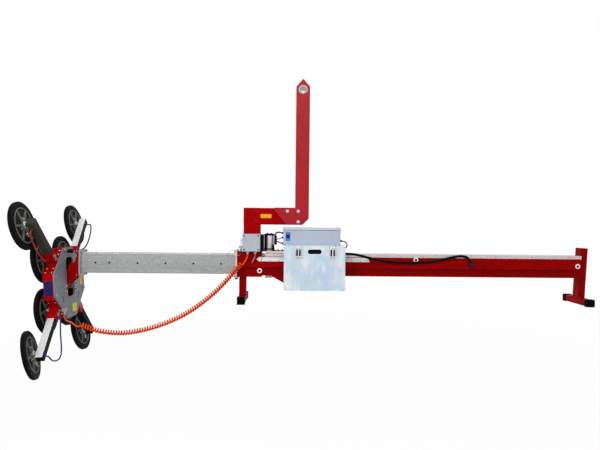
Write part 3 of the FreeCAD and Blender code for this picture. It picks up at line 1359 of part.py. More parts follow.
def spiral_stations():
    """Points and directions on the curls, one every half turn along the route."""
    middle, radii = route_wire([V(*place) for place in SPIRAL_ROUTE])
    count = 2 * SPIRAL_TURNS
    centres = middle.discretize(Number=count + 1)
    step = middle.Length / count
    stations = []
    for index, centre in enumerate(centres):
        way = centres[min(index + 1, count)].sub(centres[max(index - 1, 0)]).normalize()
        side = way.cross(ALONG_Y).normalize()
        other = way.cross(side)
        sign = 1 if index % 2 == 0 else -1
        stations.append((centre + side * (sign * SPIRAL_R),
                         (other * (sign * math.pi * SPIRAL_R) + way * step).normalize()))
    print(f"spiral route: length {middle.Length:.0f}, pitch {2 * step:.1f}, radii {[round(r) for r in radii]}")
    return stations


def spiral_hose():
    """Orange spiral hose: one tube from the gland through its curls to the head's fitting."""
    straight = V(0, 0, 2 * SPIRAL_TUBE_R)
    gland = V(GLAND_HOSE_X, GLAND_Y, GLAND_END)
    nose = head_lean().multVec(fitting_nose())
    into_nose = head_lean().Rotation.multVec(ALONG_Z)
    inlet = nose - into_nose * (2 * SPIRAL_TUBE_R)
    tail_way = V(-1, 0, 0.15).normalize()
    stops = [(gland - straight, -ALONG_Z)] + spiral_stations()
    stops += [(V(*SPIRAL_TAIL), tail_way), (inlet, into_nose)]
    edges = [Part.LineSegment(gland, gland - straight).toShape()]
    for (start, start_way), (end, end_way) in zip(stops, stops[1:]):
        edges += biarc(start, start_way, end, end_way)
    edges.append(Part.LineSegment(inlet, nose).toShape())
    tightest = min(edge.Curve.Radius for edge in edges[1:-1])
    wire = Part.Wire(edges)
    solid = sweep(wire, gland, -ALONG_Z, SPIRAL_TUBE_R)
    ratio = solid.Volume / (math.pi * SPIRAL_TUBE_R ** 2 * wire.Length)
    print(f"spiral_hose: length {wire.Length:.0f}, tightest {tightest:.1f}, volume ratio {ratio:.4f}, "
          f"least gap {least_gap(wire):.2f}")
    return solid


def least_gap(wire):
    """Least gap between turns of the spiral hose, measured on points of its centre line."""
    spacing = SPIRAL_TUBE_R / 4
    points = wire.discretize(Number=int(wire.Length / spacing))
    apart = int(math.pi * SPIRAL_R / spacing)
    near = 3 * apart
    least = wire.Length
    for index, point in enumerate(points):
        for other in points[index + apart:index + near]:
            least = min(least, point.distanceToPoint(other))
    return least - 2 * SPIRAL_TUBE_R


def head_nodes():
    """The pieces that lean with the head, drawn upright."""
    nodes = {
        "back_plate": back_plate(),
        "lock_knob": lock_knob(),
        "hose_fitting": hose_fitting(),
        "head_housing": head_housing(),
        "pad_studs": pad_studs(),
        "pad_hoses": pad_hoses(),
    }
    for place_name, place in main_pad_places().items():
        nodes[f"main_pad_{place_name}"] = pad(place, MAIN_DROOP)
    for place_name, place in outer_pad_places().items():
        turn = PAD_TURN if place_name == "near_lower" else 0
        nodes[f"outer_pad_{place_name}"] = pad(place, OUTER_DROOP, turn)
        near, level = place_name.split("_")
        nodes[f"extension_{place_name}"] = extension(near, level)
    return nodes


def main():
    os.makedirs("parts", exist_ok=True)
    near_wheel, far_wheel = wheel_places()
    left_roller, right_roller = roller_places()
    left_latch, right_latch = latch_places()
    nodes = {
        "main_beam": main_beam(),
        "top_rail": top_rail(),
        "beam_sleeve": beam_sleeve(),
        "mouth_flange": mouth_flange(),
        "guide_pads": guide_pads(),
        "gooseneck": gooseneck(),
        "mast": mast(),
        "eye_bush": eye_bush(),
        "mast_bolts": mast_bolts(),
        "front_stand": front_stand(),
        "rear_stand": rear_stand(),
        "foot_caps": foot_caps(),
        "junction_box": junction_box(),
        "cable_glands": cable_glands(),
        "hose_bracket": hose_bracket(),
        "beam_fittings": Part.makeCompound(beam_bushes() + [cable_clip()]),
        "scale_strip": scale_strip(),
        "cart_cable": cart_cable(),
        "thin_leads": thin_leads(),
        "spiral_hose": spiral_hose(),
        "locking_pin": locking_pin(),
        "cart_saddle": cart_saddle(),
        "counterweight_plates": counterweight_plates(),
        "chest_body": chest_body(),
        "chest_equipment": chest_equipment(),
        "control_box": control_box(),
        "control_box_lid": control_box_lid(),
        "drive_gearbox": drive_gearbox(),
        "drive_motor": drive_motor(),
        "cart_leads": cart_leads(),
        "drive_wheel": cart_wheel(near_wheel),
        "idler_wheel": cart_wheel(far_wheel),
        "lower_roller_left": lower_roller(left_roller),
        "lower_roller_right": lower_roller(right_roller),
        "chest_door": chest_door(),
        "latch_left": latch(left_latch),
        "latch_right": latch(right_latch),
        "extension_arm": extension_arm(),
        "head_bracket": head_bracket(),
        "flange_bolts": flange_bolts(),
        "tilt_pin": tilt_pin(),
        "arm_tail_pads": arm_tail_pads(),
    }
    for name, shape in head_nodes().items():
        nodes[name] = leaned(shape)
    for name, shape in nodes.items():
        print(name, len(shape.Solids), shape.isValid(), round(shape.Volume / 1000))
        shape.exportStep(f"parts/{name}.step")


main()
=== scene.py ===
import math

import bmesh
import bpy
from mathutils import Matrix, Vector


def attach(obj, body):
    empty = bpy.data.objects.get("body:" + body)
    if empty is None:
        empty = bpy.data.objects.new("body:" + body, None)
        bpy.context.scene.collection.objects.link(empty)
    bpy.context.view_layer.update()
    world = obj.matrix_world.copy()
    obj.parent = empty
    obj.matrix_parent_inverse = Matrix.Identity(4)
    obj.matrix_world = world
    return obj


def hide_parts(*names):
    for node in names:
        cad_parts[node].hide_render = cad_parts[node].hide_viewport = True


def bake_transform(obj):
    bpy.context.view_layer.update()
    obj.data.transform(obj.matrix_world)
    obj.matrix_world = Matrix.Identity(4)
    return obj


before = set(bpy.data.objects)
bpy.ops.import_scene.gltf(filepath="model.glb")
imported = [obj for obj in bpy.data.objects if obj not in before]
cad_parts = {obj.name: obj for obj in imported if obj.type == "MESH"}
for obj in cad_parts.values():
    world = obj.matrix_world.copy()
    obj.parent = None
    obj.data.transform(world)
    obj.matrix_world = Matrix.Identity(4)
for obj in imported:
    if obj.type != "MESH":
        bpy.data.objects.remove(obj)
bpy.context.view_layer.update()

# Lengths below are written in millimetres in the row frame and turned into metres by mm().


def mm(*values):
    """A point in metres from millimetres."""
    return Vector([value / 1000 for value in values])


def turned(angle, axis):
    """Turn by degrees about an axis."""
    return Matrix.Rotation(math.radians(angle), 4, axis)


def srgb(red, green, blue):
    """Linear colour from 8-bit values."""
    made = []
    for value in (red, green, blue):
        value /= 255
        made.append(value / 12.92 if value <= 0.04045 else ((value + 0.055) / 1.055) ** 2.4)
    return tuple(made)


# Materials


class Nodes:
    """Short way to add and link shader nodes."""

    def __init__(self, name):
        self.material = bpy.data.materials.new(name)
        self.material.use_nodes = True
        self.tree = self.material.node_tree
        self.shader = self.tree.nodes["Principled BSDF"]
        self.place = self.add("ShaderNodeTexCoord").outputs["Object"]

    def put(self, node, inputs):
        """Set or link a node's inputs."""
        for key, value in inputs.items():
            if isinstance(value, bpy.types.NodeSocket):
                self.tree.links.new(value, node.inputs[key])
            else:
                node.inputs[key].default_value = value

    def add(self, kind, inputs=None, **settings):
        """New node with some of its inputs set or linked."""
        node = self.tree.nodes.new(kind)
        for key, value in settings.items():
            setattr(node, key, value)
        self.put(node, inputs or {})
        return node

    def math(self, operation, first, second=0.5):
        return self.add("ShaderNodeMath", {0: first, 1: second}, operation=operation).outputs[0]

    def axes(self, vector):
        """The X, Y and Z of a vector."""
        return self.add("ShaderNodeSeparateXYZ", {0: vector}).outputs

    def texture(self, kind, scale, stretch=(1, 1, 1), **inputs):
        """Texture node in object space, stretched along the axes."""
        place = self.add("ShaderNodeMapping", {"Vector": self.place, "Scale": stretch})
        return self.add(kind, {"Vector": place.outputs[0], "Scale": scale, **inputs})

    def noise(self, scale, detail=4, stretch=(1, 1, 1), rough=0.55):
        node = self.texture("ShaderNodeTexNoise", scale, stretch, Detail=detail, Roughness=rough)
        return node.outputs["Fac"]

    def span(self, value, low, high, to_low=0.0, to_high=1.0):
        """A value taken from one range to another, and held at its ends."""
        node = self.add("ShaderNodeMapRange", {"Value": value, "From Min": low, "From Max": high,
                                               "To Min": to_low, "To Max": to_high})
        return node.outputs["Result"]

    def tint(self, colour):
        """A colour as an input takes it."""
        return colour if isinstance(colour, bpy.types.NodeSocket) else (*colour, 1)

    def mix(self, factor, first, second):
        colours = {0: factor, 6: self.tint(first), 7: self.tint(second)}
        return self.add("ShaderNodeMix", colours, data_type="RGBA").outputs[2]

    def edges(self, radius):
        """Mask that is 1 on sharp edges, and the softened normal."""
        soft = self.add("ShaderNodeBevel", {"Radius": radius}, samples=4).outputs[0]
        normal = self.add("ShaderNodeNewGeometry").outputs["Normal"]
        dot = self.add("ShaderNodeVectorMath", {0: soft, 1: normal}, operation="DOT_PRODUCT")
        return self.span(dot.outputs["Value"], 0.999, 0.85), soft

    def bump(self, height, strength, distance, normal=None):
        node = self.add("ShaderNodeBump", {"Height": height, "Strength": strength, "Distance": distance})
        if normal is not None:
            self.put(node, {"Normal": normal})
        return node.outputs["Normal"]

    def done(self, colour, rough, normal=None, metal=0.0, specular=0.5):
        """The material, with its shader's main inputs set."""
        self.put(self.shader, {"Base Color": self.tint(colour), "Roughness": rough, "Metallic": metal,
                               "Specular IOR Level": specular})
        if normal is not None:
            self.put(self.shader, {"Normal": normal})
        return self.material


def times(colour, factor):
    """A colour made lighter or darker."""
    return tuple(min(1.0, value * factor) for value in colour)


def enamel(name, colour, rough=0.34, wear_and_highlight=0.35, vary=0.16, specular=0.03, under=None):
    """Sprayed paint: cloudy colour, orange peel, dust streaks, edges rubbed pale where worn and as a painted
    highlight, and painted shade below a height with a painted shadow just under it.
    """
    n = Nodes(name)
    cloud = n.span(n.noise(5, 5), 0.3, 0.7)
    body = n.mix(cloud, times(colour, 1 - vary), times(colour, 1 + vary))
    streak = n.span(n.noise(3, 6, (9, 9, 0.6)), 0.56, 0.75, 0, 0.25)
    body = n.mix(streak, body, times(colour, 0.72))
    if under is not None:
        # Painted shade: the wall under this height is darkened, most of all just under it, as the painted
        # shadow of the band's step.
        height = n.axes(n.place)[2]
        below = n.span(height, under, under - 0.003)
        body = n.mix(n.math("MULTIPLY", below, 0.9), body, times(colour, 0.74))
        shadow_under_step = n.span(height, under - 0.03, under - 0.004, 0, 0.7)
        body = n.mix(n.math("MULTIPLY", below, shadow_under_step), body, times(colour, 0.4))
    # Edges rubbed pale: partly worn paint, partly a painted highlight.
    mask, soft = n.edges(0.0025)
    rubbed_and_highlit = n.math("MULTIPLY", mask, n.span(n.noise(38, 4), 0.42, 0.62, 0, wear_and_highlight))
    pale = tuple(0.55 * value + 0.12 for value in colour)
    body = n.mix(rubbed_and_highlit, body, pale)
    gloss = n.span(n.noise(11, 4), 0.25, 0.75, rough - 0.07, rough + 0.1)
    return n.done(body, gloss, n.bump(n.noise(420, 2), 0.09, 0.0006, soft), specular=specular)


def galvanised(name, colour, rough=0.42, metal=0.55, spangle=0.13):
    """Zinc coat: spangle, rolling streaks, small stains and a painted highlight on its edges."""
    n = Nodes(name)
    tone = n.add("ShaderNodeSeparateColor", {0: n.texture("ShaderNodeTexVoronoi", 95).outputs["Color"]})
    flakes = n.span(tone.outputs[0], 0, 1, 0.15, 0.85)
    body = n.mix(flakes, times(colour, 1 - spangle), times(colour, 1 + spangle))
    streak = n.span(n.noise(4, 6, (0.5, 8, 8)), 0.4, 0.68, 0, 0.5)
    body = n.mix(streak, body, times(colour, 0.78))
    stain = n.span(n.noise(16, 6), 0.6, 0.72, 0, 3 * spangle)
    body = n.mix(stain, body, times((colour[0] * 0.95, colour[1] * 0.9, colour[2] * 0.82), 0.7))
    mask, soft = n.edges(0.002)
    # Painted highlight: sharp edges made lighter.
    body = n.mix(n.math("MULTIPLY", mask, 0.5), body, times(colour, 1.35))
    gloss = n.span(tone.outputs[1], 0, 1, rough - 0.08, rough + 0.12)
    return n.done(body, gloss, n.bump(n.noise(260, 3), 0.08, 0.0006, soft), metal=metal)


def bright_bar(name, colour, scale):
    """Drawn bar: smooth bright metal, black on its ends, painted shade on the side that faces the beam and a
    painted highlight on its edges.
    """
    n = Nodes(name)
    body = n.mix(n.span(n.noise(9, 4), 0.35, 0.65), times(colour, 0.94), times(colour, 1.05))
    mask, soft = n.edges(0.002)
    # Painted highlight: sharp edges made lighter.
    body = n.mix(n.math("MULTIPLY", mask, 0.4), body, times(colour, 1.1))
    # Painted shade: faces that look to +X take the dark colour scale, as the ends do, with less metal and
    # specular.
    facing = n.axes(n.add("ShaderNodeTexCoord").outputs["Normal"])
    endwise = n.math("ABSOLUTE", n.math("ADD", facing[1], facing[2]))
    dark = n.math("MAXIMUM", n.span(facing[0], 0.4, 0.8), n.span(endwise, 0.9, 1.2))
    gloss = n.span(n.noise(30, 3), 0.3, 0.7, 0.34, 0.44)
    return n.done(n.mix(dark, body, scale), gloss, n.bump(n.noise(60, 2), 0.03, 0.0004, soft),
                  metal=n.span(dark, 0, 1, 0.25, 0), specular=n.span(dark, 0, 1, 0.3, 0.03))


def clip_and_bushes(name, colour, black, clip_x):
    """Bright bushes, and a blackened cable clip at one place along the beam."""
    n = Nodes(name)
    body = n.mix(n.span(n.noise(40, 4), 0.35, 0.65), times(colour, 0.86), times(colour, 1.1))
    away = n.math("ABSOLUTE", n.math("SUBTRACT", n.axes(n.place)[0], clip_x))
    body = n.mix(n.span(away, 0.03, 0.034, 1, 0), body, black)
    soft = n.edges(0.001)[1]
    gloss = n.span(n.noise(60, 3), 0.3, 0.7, 0.32, 0.46)
    return n.done(body, gloss, n.bump(n.noise(300, 2), 0.05, 0.0004, soft), metal=0.3, specular=0.3)


def machined(name, colour, rough=0.3, metal=0.9):
    """Plain steel: turning marks, slight tarnish and edges brightened as a painted highlight."""
    n = Nodes(name)
    body = n.mix(n.span(n.noise(60, 5), 0.35, 0.65), times(colour, 0.8), times(colour, 1.15))
    mask, soft = n.edges(0.0012)
    # Painted highlight: sharp edges made lighter.
    body = n.mix(n.math("MULTIPLY", mask, 0.6), body, times(colour, 1.5))
    gloss = n.span(n.noise(240, 2, (1, 1, 6)), 0.3, 0.7, rough - 0.08, rough + 0.12)
    return n.done(body, gloss, n.bump(n.noise(700, 2, (1, 1, 5)), 0.05, 0.0004, soft), metal=metal)


def moulded(name, colour, rough=0.5, grain=600, vary=0.12, specular=0.18, dusty=0.035):
    """Plastic or rubber: fine grain, faint dust in patches, softened edges and a painted highlight on them."""
    n = Nodes(name)
    body = n.mix(n.span(n.noise(22, 5), 0.35, 0.7), times(colour, 1 - vary), times(colour, 1 + vary))
    dust = n.span(n.noise(7, 6), 0.55, 0.78, 0, 0.22)
    body = n.mix(dust, body, tuple(value * 0.8 + dusty for value in colour))
    mask, soft = n.edges(0.0015)
    # Painted highlight: sharp edges made lighter.
    body = n.mix(n.math("MULTIPLY", mask, 0.3), body, tuple(value * 1.1 + dusty for value in colour))
    gloss = n.span(n.noise(45, 4), 0.3, 0.7, rough - 0.08, rough + 0.08)
    return n.done(body, gloss, n.bump(n.noise(grain, 2), 0.12, 0.0005, soft), specular=specular)


def sheet_metal(name, colour, rough=0.36, metal=0.3):
    """Bright zinc sheet: upright rolling streaks, wiped pale clouds, bluish smears and a painted highlight on
    its edges.
    """
    n = Nodes(name)
    fine = n.span(n.noise(26, 5, (5, 5, 0.3)), 0.35, 0.68)
    body = n.mix(fine, times(colour, 0.95), times(colour, 1.05))
    wide = n.span(n.noise(4.5, 6, (2.2, 2.2, 0.9), 0.6), 0.44, 0.62, 0, 0.75)
    body = n.mix(wide, body, (colour[0] * 0.82, colour[1] * 0.9, colour[2] * 1.04))
    cream = n.span(n.noise(5.5, 6, (2.6, 2.6, 1.2), 0.6), 0.5, 0.68, 0, 0.7)
    body = n.mix(cream, body, (0.80, 0.83, 0.79))
    smear = n.span(n.noise(13, 6, (2, 2, 0.5)), 0.58, 0.75, 0, 0.6)
    body = n.mix(smear, body, (0.84, 0.88, 0.9))
    mask, soft = n.edges(0.002)
    # Painted highlight: sharp edges made lighter.
    body = n.mix(n.math("MULTIPLY", mask, 0.5), body, (0.85, 0.88, 0.9))
    gloss = n.span(fine, 0, 1, rough - 0.06, rough + 0.1)
    return n.done(body, gloss, n.bump(n.noise(90, 4, (4, 4, 0.3)), 0.06, 0.0006, soft), metal=metal)


def hose(name, colour, rough=0.28, through=0.0, specular=0.25, inside=None):
    """Smooth hose or cable jacket with a slight haze, darker where coils shade it."""
    n = Nodes(name)
    body = n.mix(n.span(n.noise(40, 4), 0.35, 0.65), times(colour, 0.82), times(colour, 1.15))
    if inside is not None:
        shade = n.add("ShaderNodeAmbientOcclusion", {"Distance": 0.03}, samples=8)
        body = n.mix(n.span(shade.outputs["AO"], 0.75, 0.4), body, inside)
    gloss = n.span(n.noise(80, 3), 0.3, 0.7, rough - 0.06, rough + 0.12)
    n.put(n.shader, {"Subsurface Weight": through, "Subsurface Radius": (0.004, 0.0015, 0.0006)})
    return n.done(body, gloss, n.bump(n.noise(900, 2), 0.05, 0.0003), specular=specular)


RED = enamel("red_enamel", srgb(160, 1, 4))
# The mast's enamel is the red paint made lighter and pinker: painted reflection.
MAST_RED_PAINTED_REFLECTION = enamel("mast_enamel_painted_reflection", srgb(166, 22, 34), specular=0.2)
# The beam's enamel has painted shade on its lower wall and a painted shadow under the band.
BEAM_RED = enamel("beam_enamel", srgb(145, 1, 2), rough=0.4, under=-1.276)
STAND_RED = enamel("stand_enamel", srgb(140, 1, 2), rough=0.4)
GREY = enamel("grey_enamel", srgb(120, 125, 130), rough=0.45, wear_and_highlight=0.3, vary=0.08, specular=0.2)
PALE = enamel("pale_enamel", srgb(181, 189, 203), rough=0.4, wear_and_highlight=0.25, vary=0.04, specular=0.2)
LID = enamel("lid_enamel", srgb(198, 205, 215), rough=0.4, wear_and_highlight=0.25, vary=0.03, specular=0.2)
ZINC = galvanised("zinc_coat", srgb(154, 157, 156))
RAIL = galvanised("rail_zinc", srgb(200, 188, 186), rough=0.36)
FLANGE = galvanised("flange_zinc", srgb(205, 200, 202), rough=0.4, metal=0.3)
BRIGHT = galvanised("bright_zinc", srgb(196, 198, 202), rough=0.3, metal=0.7)
# The bar's dark colour is painted shade on its +X side and black on its ends.
BAR = bright_bar("bright_bar", srgb(214, 213, 214), srgb(18, 20, 20))
FITTINGS = clip_and_bushes("fittings", srgb(200, 202, 205), srgb(13, 13, 14), 1.22)
OLIVE = enamel("olive_enamel", srgb(58, 54, 46), rough=0.45, wear_and_highlight=0.5)
# A near-black copy of the olive enamel: painted shade for the far-lower bar.
OLIVE_IN_SHADE = enamel("olive_enamel_painted_shade", srgb(11, 11, 10), rough=0.5, wear_and_highlight=0.3)
CHEST = sheet_metal("chest_sheet", srgb(193, 208, 218))
STEEL = machined("plain_steel", srgb(150, 150, 148))
CHROME = machined("chrome_plate", srgb(205, 205, 205), rough=0.16, metal=1.0)
BLACK = moulded("black_plastic", srgb(14, 13, 14), rough=0.46, specular=0.08, dusty=0.015)
CAP = moulded("cap_plastic", srgb(6, 6, 6), rough=0.6, specular=0.03, dusty=0.004)
RUBBER = moulded("pad_rubber", srgb(9, 9, 9), rough=0.6, grain=380, specular=0.05, dusty=0.012)
CAST = moulded("cast_grey", srgb(98, 100, 94), rough=0.5, grain=260, vary=0.2)
CAST_DARK = moulded("cast_dark", srgb(27, 29, 26), rough=0.6, grain=260, vary=0.25, specular=0.08, dusty=0.02)
IRON = enamel("black_enamel", srgb(22, 22, 23), rough=0.4, wear_and_highlight=0.25)
PLASTIC = moulded("pale_plastic", srgb(175, 181, 189), rough=0.45, vary=0.05)
WHITE = moulded("white_plastic", srgb(228, 230, 230), rough=0.45, vary=0.03)
ORANGE = hose("orange_hose", srgb(240, 88, 14), rough=0.4, through=0.1)
COIL = hose("coil_hose", srgb(236, 78, 8), rough=0.45, specular=0.04, inside=srgb(140, 20, 4))
CABLE = hose("black_jacket", srgb(6, 6, 7), rough=0.6, specular=0.05)
BLUE_HOSE = hose("blue_hose", srgb(28, 30, 122))
RED_HOSE = hose("red_hose", srgb(176, 24, 32))
GREY_LEAD = hose("grey_lead", srgb(150, 142, 132), rough=0.4)
WIRE = machined("wire_rope", srgb(120, 124, 130), rough=0.35)
YELLOW = moulded("yellow_plate", srgb(226, 165, 26), rough=0.4, vary=0.05)
LEMON = moulded("lemon_plate", srgb(222, 206, 24), rough=0.4, vary=0.05)
BLUE = moulded("blue_plate", srgb(17, 18, 82), rough=0.35, vary=0.1)
SKY_BLUE = moulded("light_blue_plate", srgb(70, 120, 200), rough=0.35, vary=0.06)
WHITE_ZINC = galvanised("white_zinc", srgb(226, 226, 226), rough=0.35, metal=0.3)
STRIP = moulded("strip_white", srgb(226, 226, 222), rough=0.4, vary=0.04)
INK = moulded("strip_ink", srgb(50, 60, 104), rough=0.5)


def dress(material, *names):
    """Give CAD nodes a material."""
    for name in names:
        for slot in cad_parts[name].material_slots:
            slot.material = material


DIAGONALS = {"near_upper": (-1, 1), "near_lower": (-1, -1), "far_upper": (1, 1), "far_lower": (1, -1)}

# Places in the row frame that several pieces share
BEAM_END = 2036
FRONT_STAND_X = -424
REAR_FOOT_X = BEAM_END + 11.75
LOCK_X = -441
MOTOR_X = -234
BOX_LEFT, BOX_RIGHT, BOX_FRONT = -132, 276, -94
CHEST_LEFT, CHEST_RIGHT = -125, 296
LATCH_X = {"left": -26, "right": 208}
HAND_SLOT_X, HAND_SLOT_Z, HAND_SLOT_HALF, HAND_SLOT_R = 85.5, -1152, 32, 17
BUSHES = [(-300, -1302), (826, -1214), (BEAM_END - 29, -1251)]
STRIP_X, STRIP_STEP, STRIP_MARKS, MARKS_PER_FIGURE = -290, 13, 58, 5
FLOOR_Z = -2350

# The head is drawn upright and leans about the tilt axis.
PLATE_X = -1672
PLATE_FRONT = PLATE_X - 8
EXT_X = PLATE_FRONT - 36
SOCKET_HALF = 29.3
SOCKET_BACK = EXT_X + SOCKET_HALF
HOUSING_FRONT = PLATE_X - 76
BALL_X = PLATE_X - 94
HEAD_Z = -1402
SLANT = math.sqrt(0.5)
MAIN_Y, MAIN_Z, OUTER_YZ = 166, 177, 592.67 * SLANT
MAIN_DROOP, OUTER_DROOP, NEAR_LOWER_TURN = 5, 9, 12
BACK_HOSE_FROM, SIDE_HOSE_FROM = 312, 300
PIVOT = (PLATE_X - 30, 0, -1416)
LEAN = Matrix.Translation(mm(*PIVOT)) @ turned(-4, "Y") @ Matrix.Translation(-mm(*PIVOT))
HEAD = {f"{kind}_{corner}" for kind in ("ext", "main", "outer") for corner in DIAGONALS}
HEAD |= {"tilt_head", "rotor"}


def leaned(points):
    """Points of the upright head, in millimetres, moved to where it leans."""
    return [(LEAN @ mm(*point)) * 1000 for point in points]


dress(RED, "gooseneck", "head_bracket", "head_housing")
dress(MAST_RED_PAINTED_REFLECTION, "mast")
dress(BRIGHT, "mast_bolts", "hose_bracket")
dress(FITTINGS, "beam_fittings")
dress(BEAM_RED, "main_beam", "beam_sleeve")
dress(STAND_RED, "front_stand", "rear_stand", "cart_saddle", "counterweight_plates")
dress(RAIL, "top_rail")
dress(FLANGE, "mouth_flange")
dress(ZINC, "extension_arm")
dress(BAR, "extension_near_lower", "extension_far_upper")
dress(OLIVE, "extension_near_upper")
# The far-lower bar has the olive enamel in painted shade.
dress(OLIVE_IN_SHADE, "extension_far_lower")
dress(CAP, "foot_caps")
dress(STEEL, "eye_bush", "locking_pin", "lower_roller_left", "lower_roller_right",
      "flange_bolts", "tilt_pin", "hose_fitting", "pad_studs")
dress(BLACK, "guide_pads", "arm_tail_pads", "lock_knob", "drive_wheel", "idler_wheel")
dress(PLASTIC, "junction_box", "cable_glands")
dress(STRIP, "scale_strip")
dress(CHEST, "chest_body", "chest_door")
dress(PALE, "control_box")
dress(LID, "control_box_lid")
dress(IRON, "drive_gearbox", "chest_equipment")
dress(CHROME, "drive_motor", "latch_left", "latch_right")
dress(GREY, "back_plate")


# Mesh helpers


def link(thing):
    """Put an object in the scene."""
    bpy.context.scene.collection.objects.link(thing)
    return thing


def circle(count, radius=1, start=0):
    """Points round a circle, as pairs, from a start in degrees."""
    turns = [math.radians(start) + 2 * math.pi * step / count for step in range(count)]
    return [(radius * math.cos(turn), radius * math.sin(turn)) for turn in turns]


def finished(name, made, angle=35):
    """Mesh from a bmesh, smooth below the angle."""
    mesh = bpy.data.meshes.new(name)
    bmesh.ops.recalc_face_normals(made, faces=made.faces)
    made.to_mesh(mesh)
    made.free()
    mesh.shade_smooth()
    mesh.set_sharp_from_angle(angle=math.radians(angle))
    return mesh


def piece(name, made, material, body):
    """Object from a bmesh that rides on a body."""
    return instance(name, finished(name, made), material, body)


def instance(name, mesh, material, body, matrix=None):
    """Object on a body that uses a mesh; the head's pieces lean."""
    if not mesh.materials:
        mesh.materials.append(material)
    made = link(bpy.data.objects.new(name, mesh))
    if matrix is None:
        matrix = Matrix.Identity(4)
    made.matrix_world = LEAN @ matrix if body in HEAD else matrix
    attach(made, body)
    return made


def skin(made, rings, loop=False):
    """Add faces from each closed ring of points to the next, and back to the first if they loop."""
    for here, there in zip(rings, rings[1:] + (rings[:1] if loop else [])):
        for index in range(len(here)):
            after = (index + 1) % len(here)
            made.faces.new((here[index], here[after], there[after], there[index]))


def lathe(profile, steps=96):
    """Ring turned about X from (x, r) points in millimetres."""
    made = bmesh.new()
    rings = [[made.verts.new(mm(x, r * y, r * z)) for x, r in profile] for y, z in circle(steps)]
    skin(made, rings, loop=True)
    bmesh.ops.remove_doubles(made, verts=made.verts, dist=1e-7)
    return made


def add_box(made, low, high, bevel=0.0):
    """Add a box with rounded edges, in millimetres."""
    centre = [(a + b) / 2 for a, b in zip(low, high)]
    size = [b - a for a, b in zip(low, high)]
    matrix = Matrix.Translation(mm(*centre)) @ Matrix.Diagonal((*mm(*size), 1))
    new = bmesh.ops.create_cube(made, size=1, matrix=matrix)
    if bevel:
        edges = list({edge for vert in new["verts"] for edge in vert.link_edges})
        bmesh.ops.bevel(made, geom=edges, offset=bevel / 1000, segments=2, profile=0.6, affect="EDGES")


def add_turned(made, start, axis, profile, steps=24, bored=False):
    """Add a turned solid: (height, radius) points along an axis, in millimetres, solid or bored."""
    spin = Vector(axis).to_track_quat("Z", "Y").to_matrix().to_4x4()
    matrix = Matrix.Translation(mm(*start)) @ spin
    rings = [[made.verts.new(matrix @ mm(x, y, height)) for x, y in circle(steps, radius)]
             for height, radius in profile]
    skin(made, rings, loop=bored)
    if not bored:
        made.faces.new(rings[0][::-1])
        made.faces.new(rings[-1])


def add_bolt(made, place, axis, across, washer=True):
    """Add a hexagon head on a washer, with a domed top."""
    radius = across / math.sqrt(3)
    base = 0.0
    if washer:
        flat = across * 0.98
        add_turned(made, place, axis, [(0, flat), (across * 0.14, flat), (across * 0.18, across * 0.92)])
        base = across * 0.16
    top = base + across * 0.62
    add_turned(made, place, axis, [(base, radius), (top - across * 0.08, radius), (top, radius * 0.84)], 6)


def add_screw(made, place, axis, radius):
    """Add a pan-head screw with a recess."""
    add_turned(made, place, axis, [(0, radius), (radius * 0.3, radius), (radius * 0.55, radius * 0.8),
                                   (radius * 0.6, radius * 0.35), (radius * 0.35, radius * 0.3),
                                   (radius * 0.34, radius * 0.02)], 20)


def add_bead(made, points, radius, pitch=5.0):
    """Add a weld bead along straight runs, in millimetres, with rippled width."""
    for start, end in zip(points, points[1:]):
        start, end = Vector(start), Vector(end)
        length = (end - start).length
        count = max(4, int(length / pitch) * 4)
        profile = []
        for step in range(count + 1):
            along = length * step / count
            ripple = 1 + 0.16 * math.cos(2 * math.pi * along / pitch)
            fade = min(1.0, 0.35 + along / radius, 0.35 + (length - along) / radius)
            profile.append((along, radius * ripple * fade))
        add_turned(made, start, end - start, profile, 8)


def add_plate(made, corners, thick, out):
    """Add a thin flat plate from corners and an outward direction, in millimetres."""
    lift = Vector(out).normalized() * thick
    low = [made.verts.new(mm(*corner)) for corner in corners]
    high = [made.verts.new(mm(*(Vector(corner) + lift))) for corner in corners]
    made.faces.new(low[::-1])
    made.faces.new(high)
    skin(made, [low, high])


# Cords. The routes repeat the ones in the part's source.


def spline_points(points, fine=8):
    """Points read from the smooth line of a route, in millimetres."""
    data = line_curve("route", points, fine)
    holder = bpy.data.objects.new("route", data)
    mesh = bpy.data.meshes.new_from_object(holder)
    found = [vert.co * 1000 for vert in mesh.vertices]
    bpy.data.objects.remove(holder)
    bpy.data.meshes.remove(mesh)
    return found


def line_curve(name, points, fine=8):
    """Smooth curve with a route's points as its control points."""
    data = bpy.data.curves.new(name, "CURVE")
    data.dimensions = "3D"
    line = data.splines.new("NURBS")
    line.points.add(len(points) - 1)
    for point, place in zip(line.points, points):
        point.co = (*mm(*place), 1)
    line.order_u = 3
    line.use_endpoint_u = True
    line.resolution_u = fine
    return data


def cord(name, points, radius, material, body, node,
         other=None, fine=8):
    """Round cord along a route, riding on its body; where other, the body at its far end, is given, a loose
    mesh tube on no body instead.
    """
    data = line_curve(name, points, fine)
    data.bevel_depth = radius / 1000
    data.bevel_resolution = 4
    data.use_fill_caps = True
    data.materials.append(material)
    made = bpy.data.objects.new(name, data)
    middle = spline_points(points, fine)
    if other is not None:
        mesh = bpy.data.meshes.new_from_object(made)
        mesh.shade_smooth()
        bpy.data.objects.remove(made)
        made = bpy.data.objects.new(name, mesh)
    link(made)
    if other is None:
        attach(made, body)
    else:
        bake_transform(made)
    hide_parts(node)
    return made


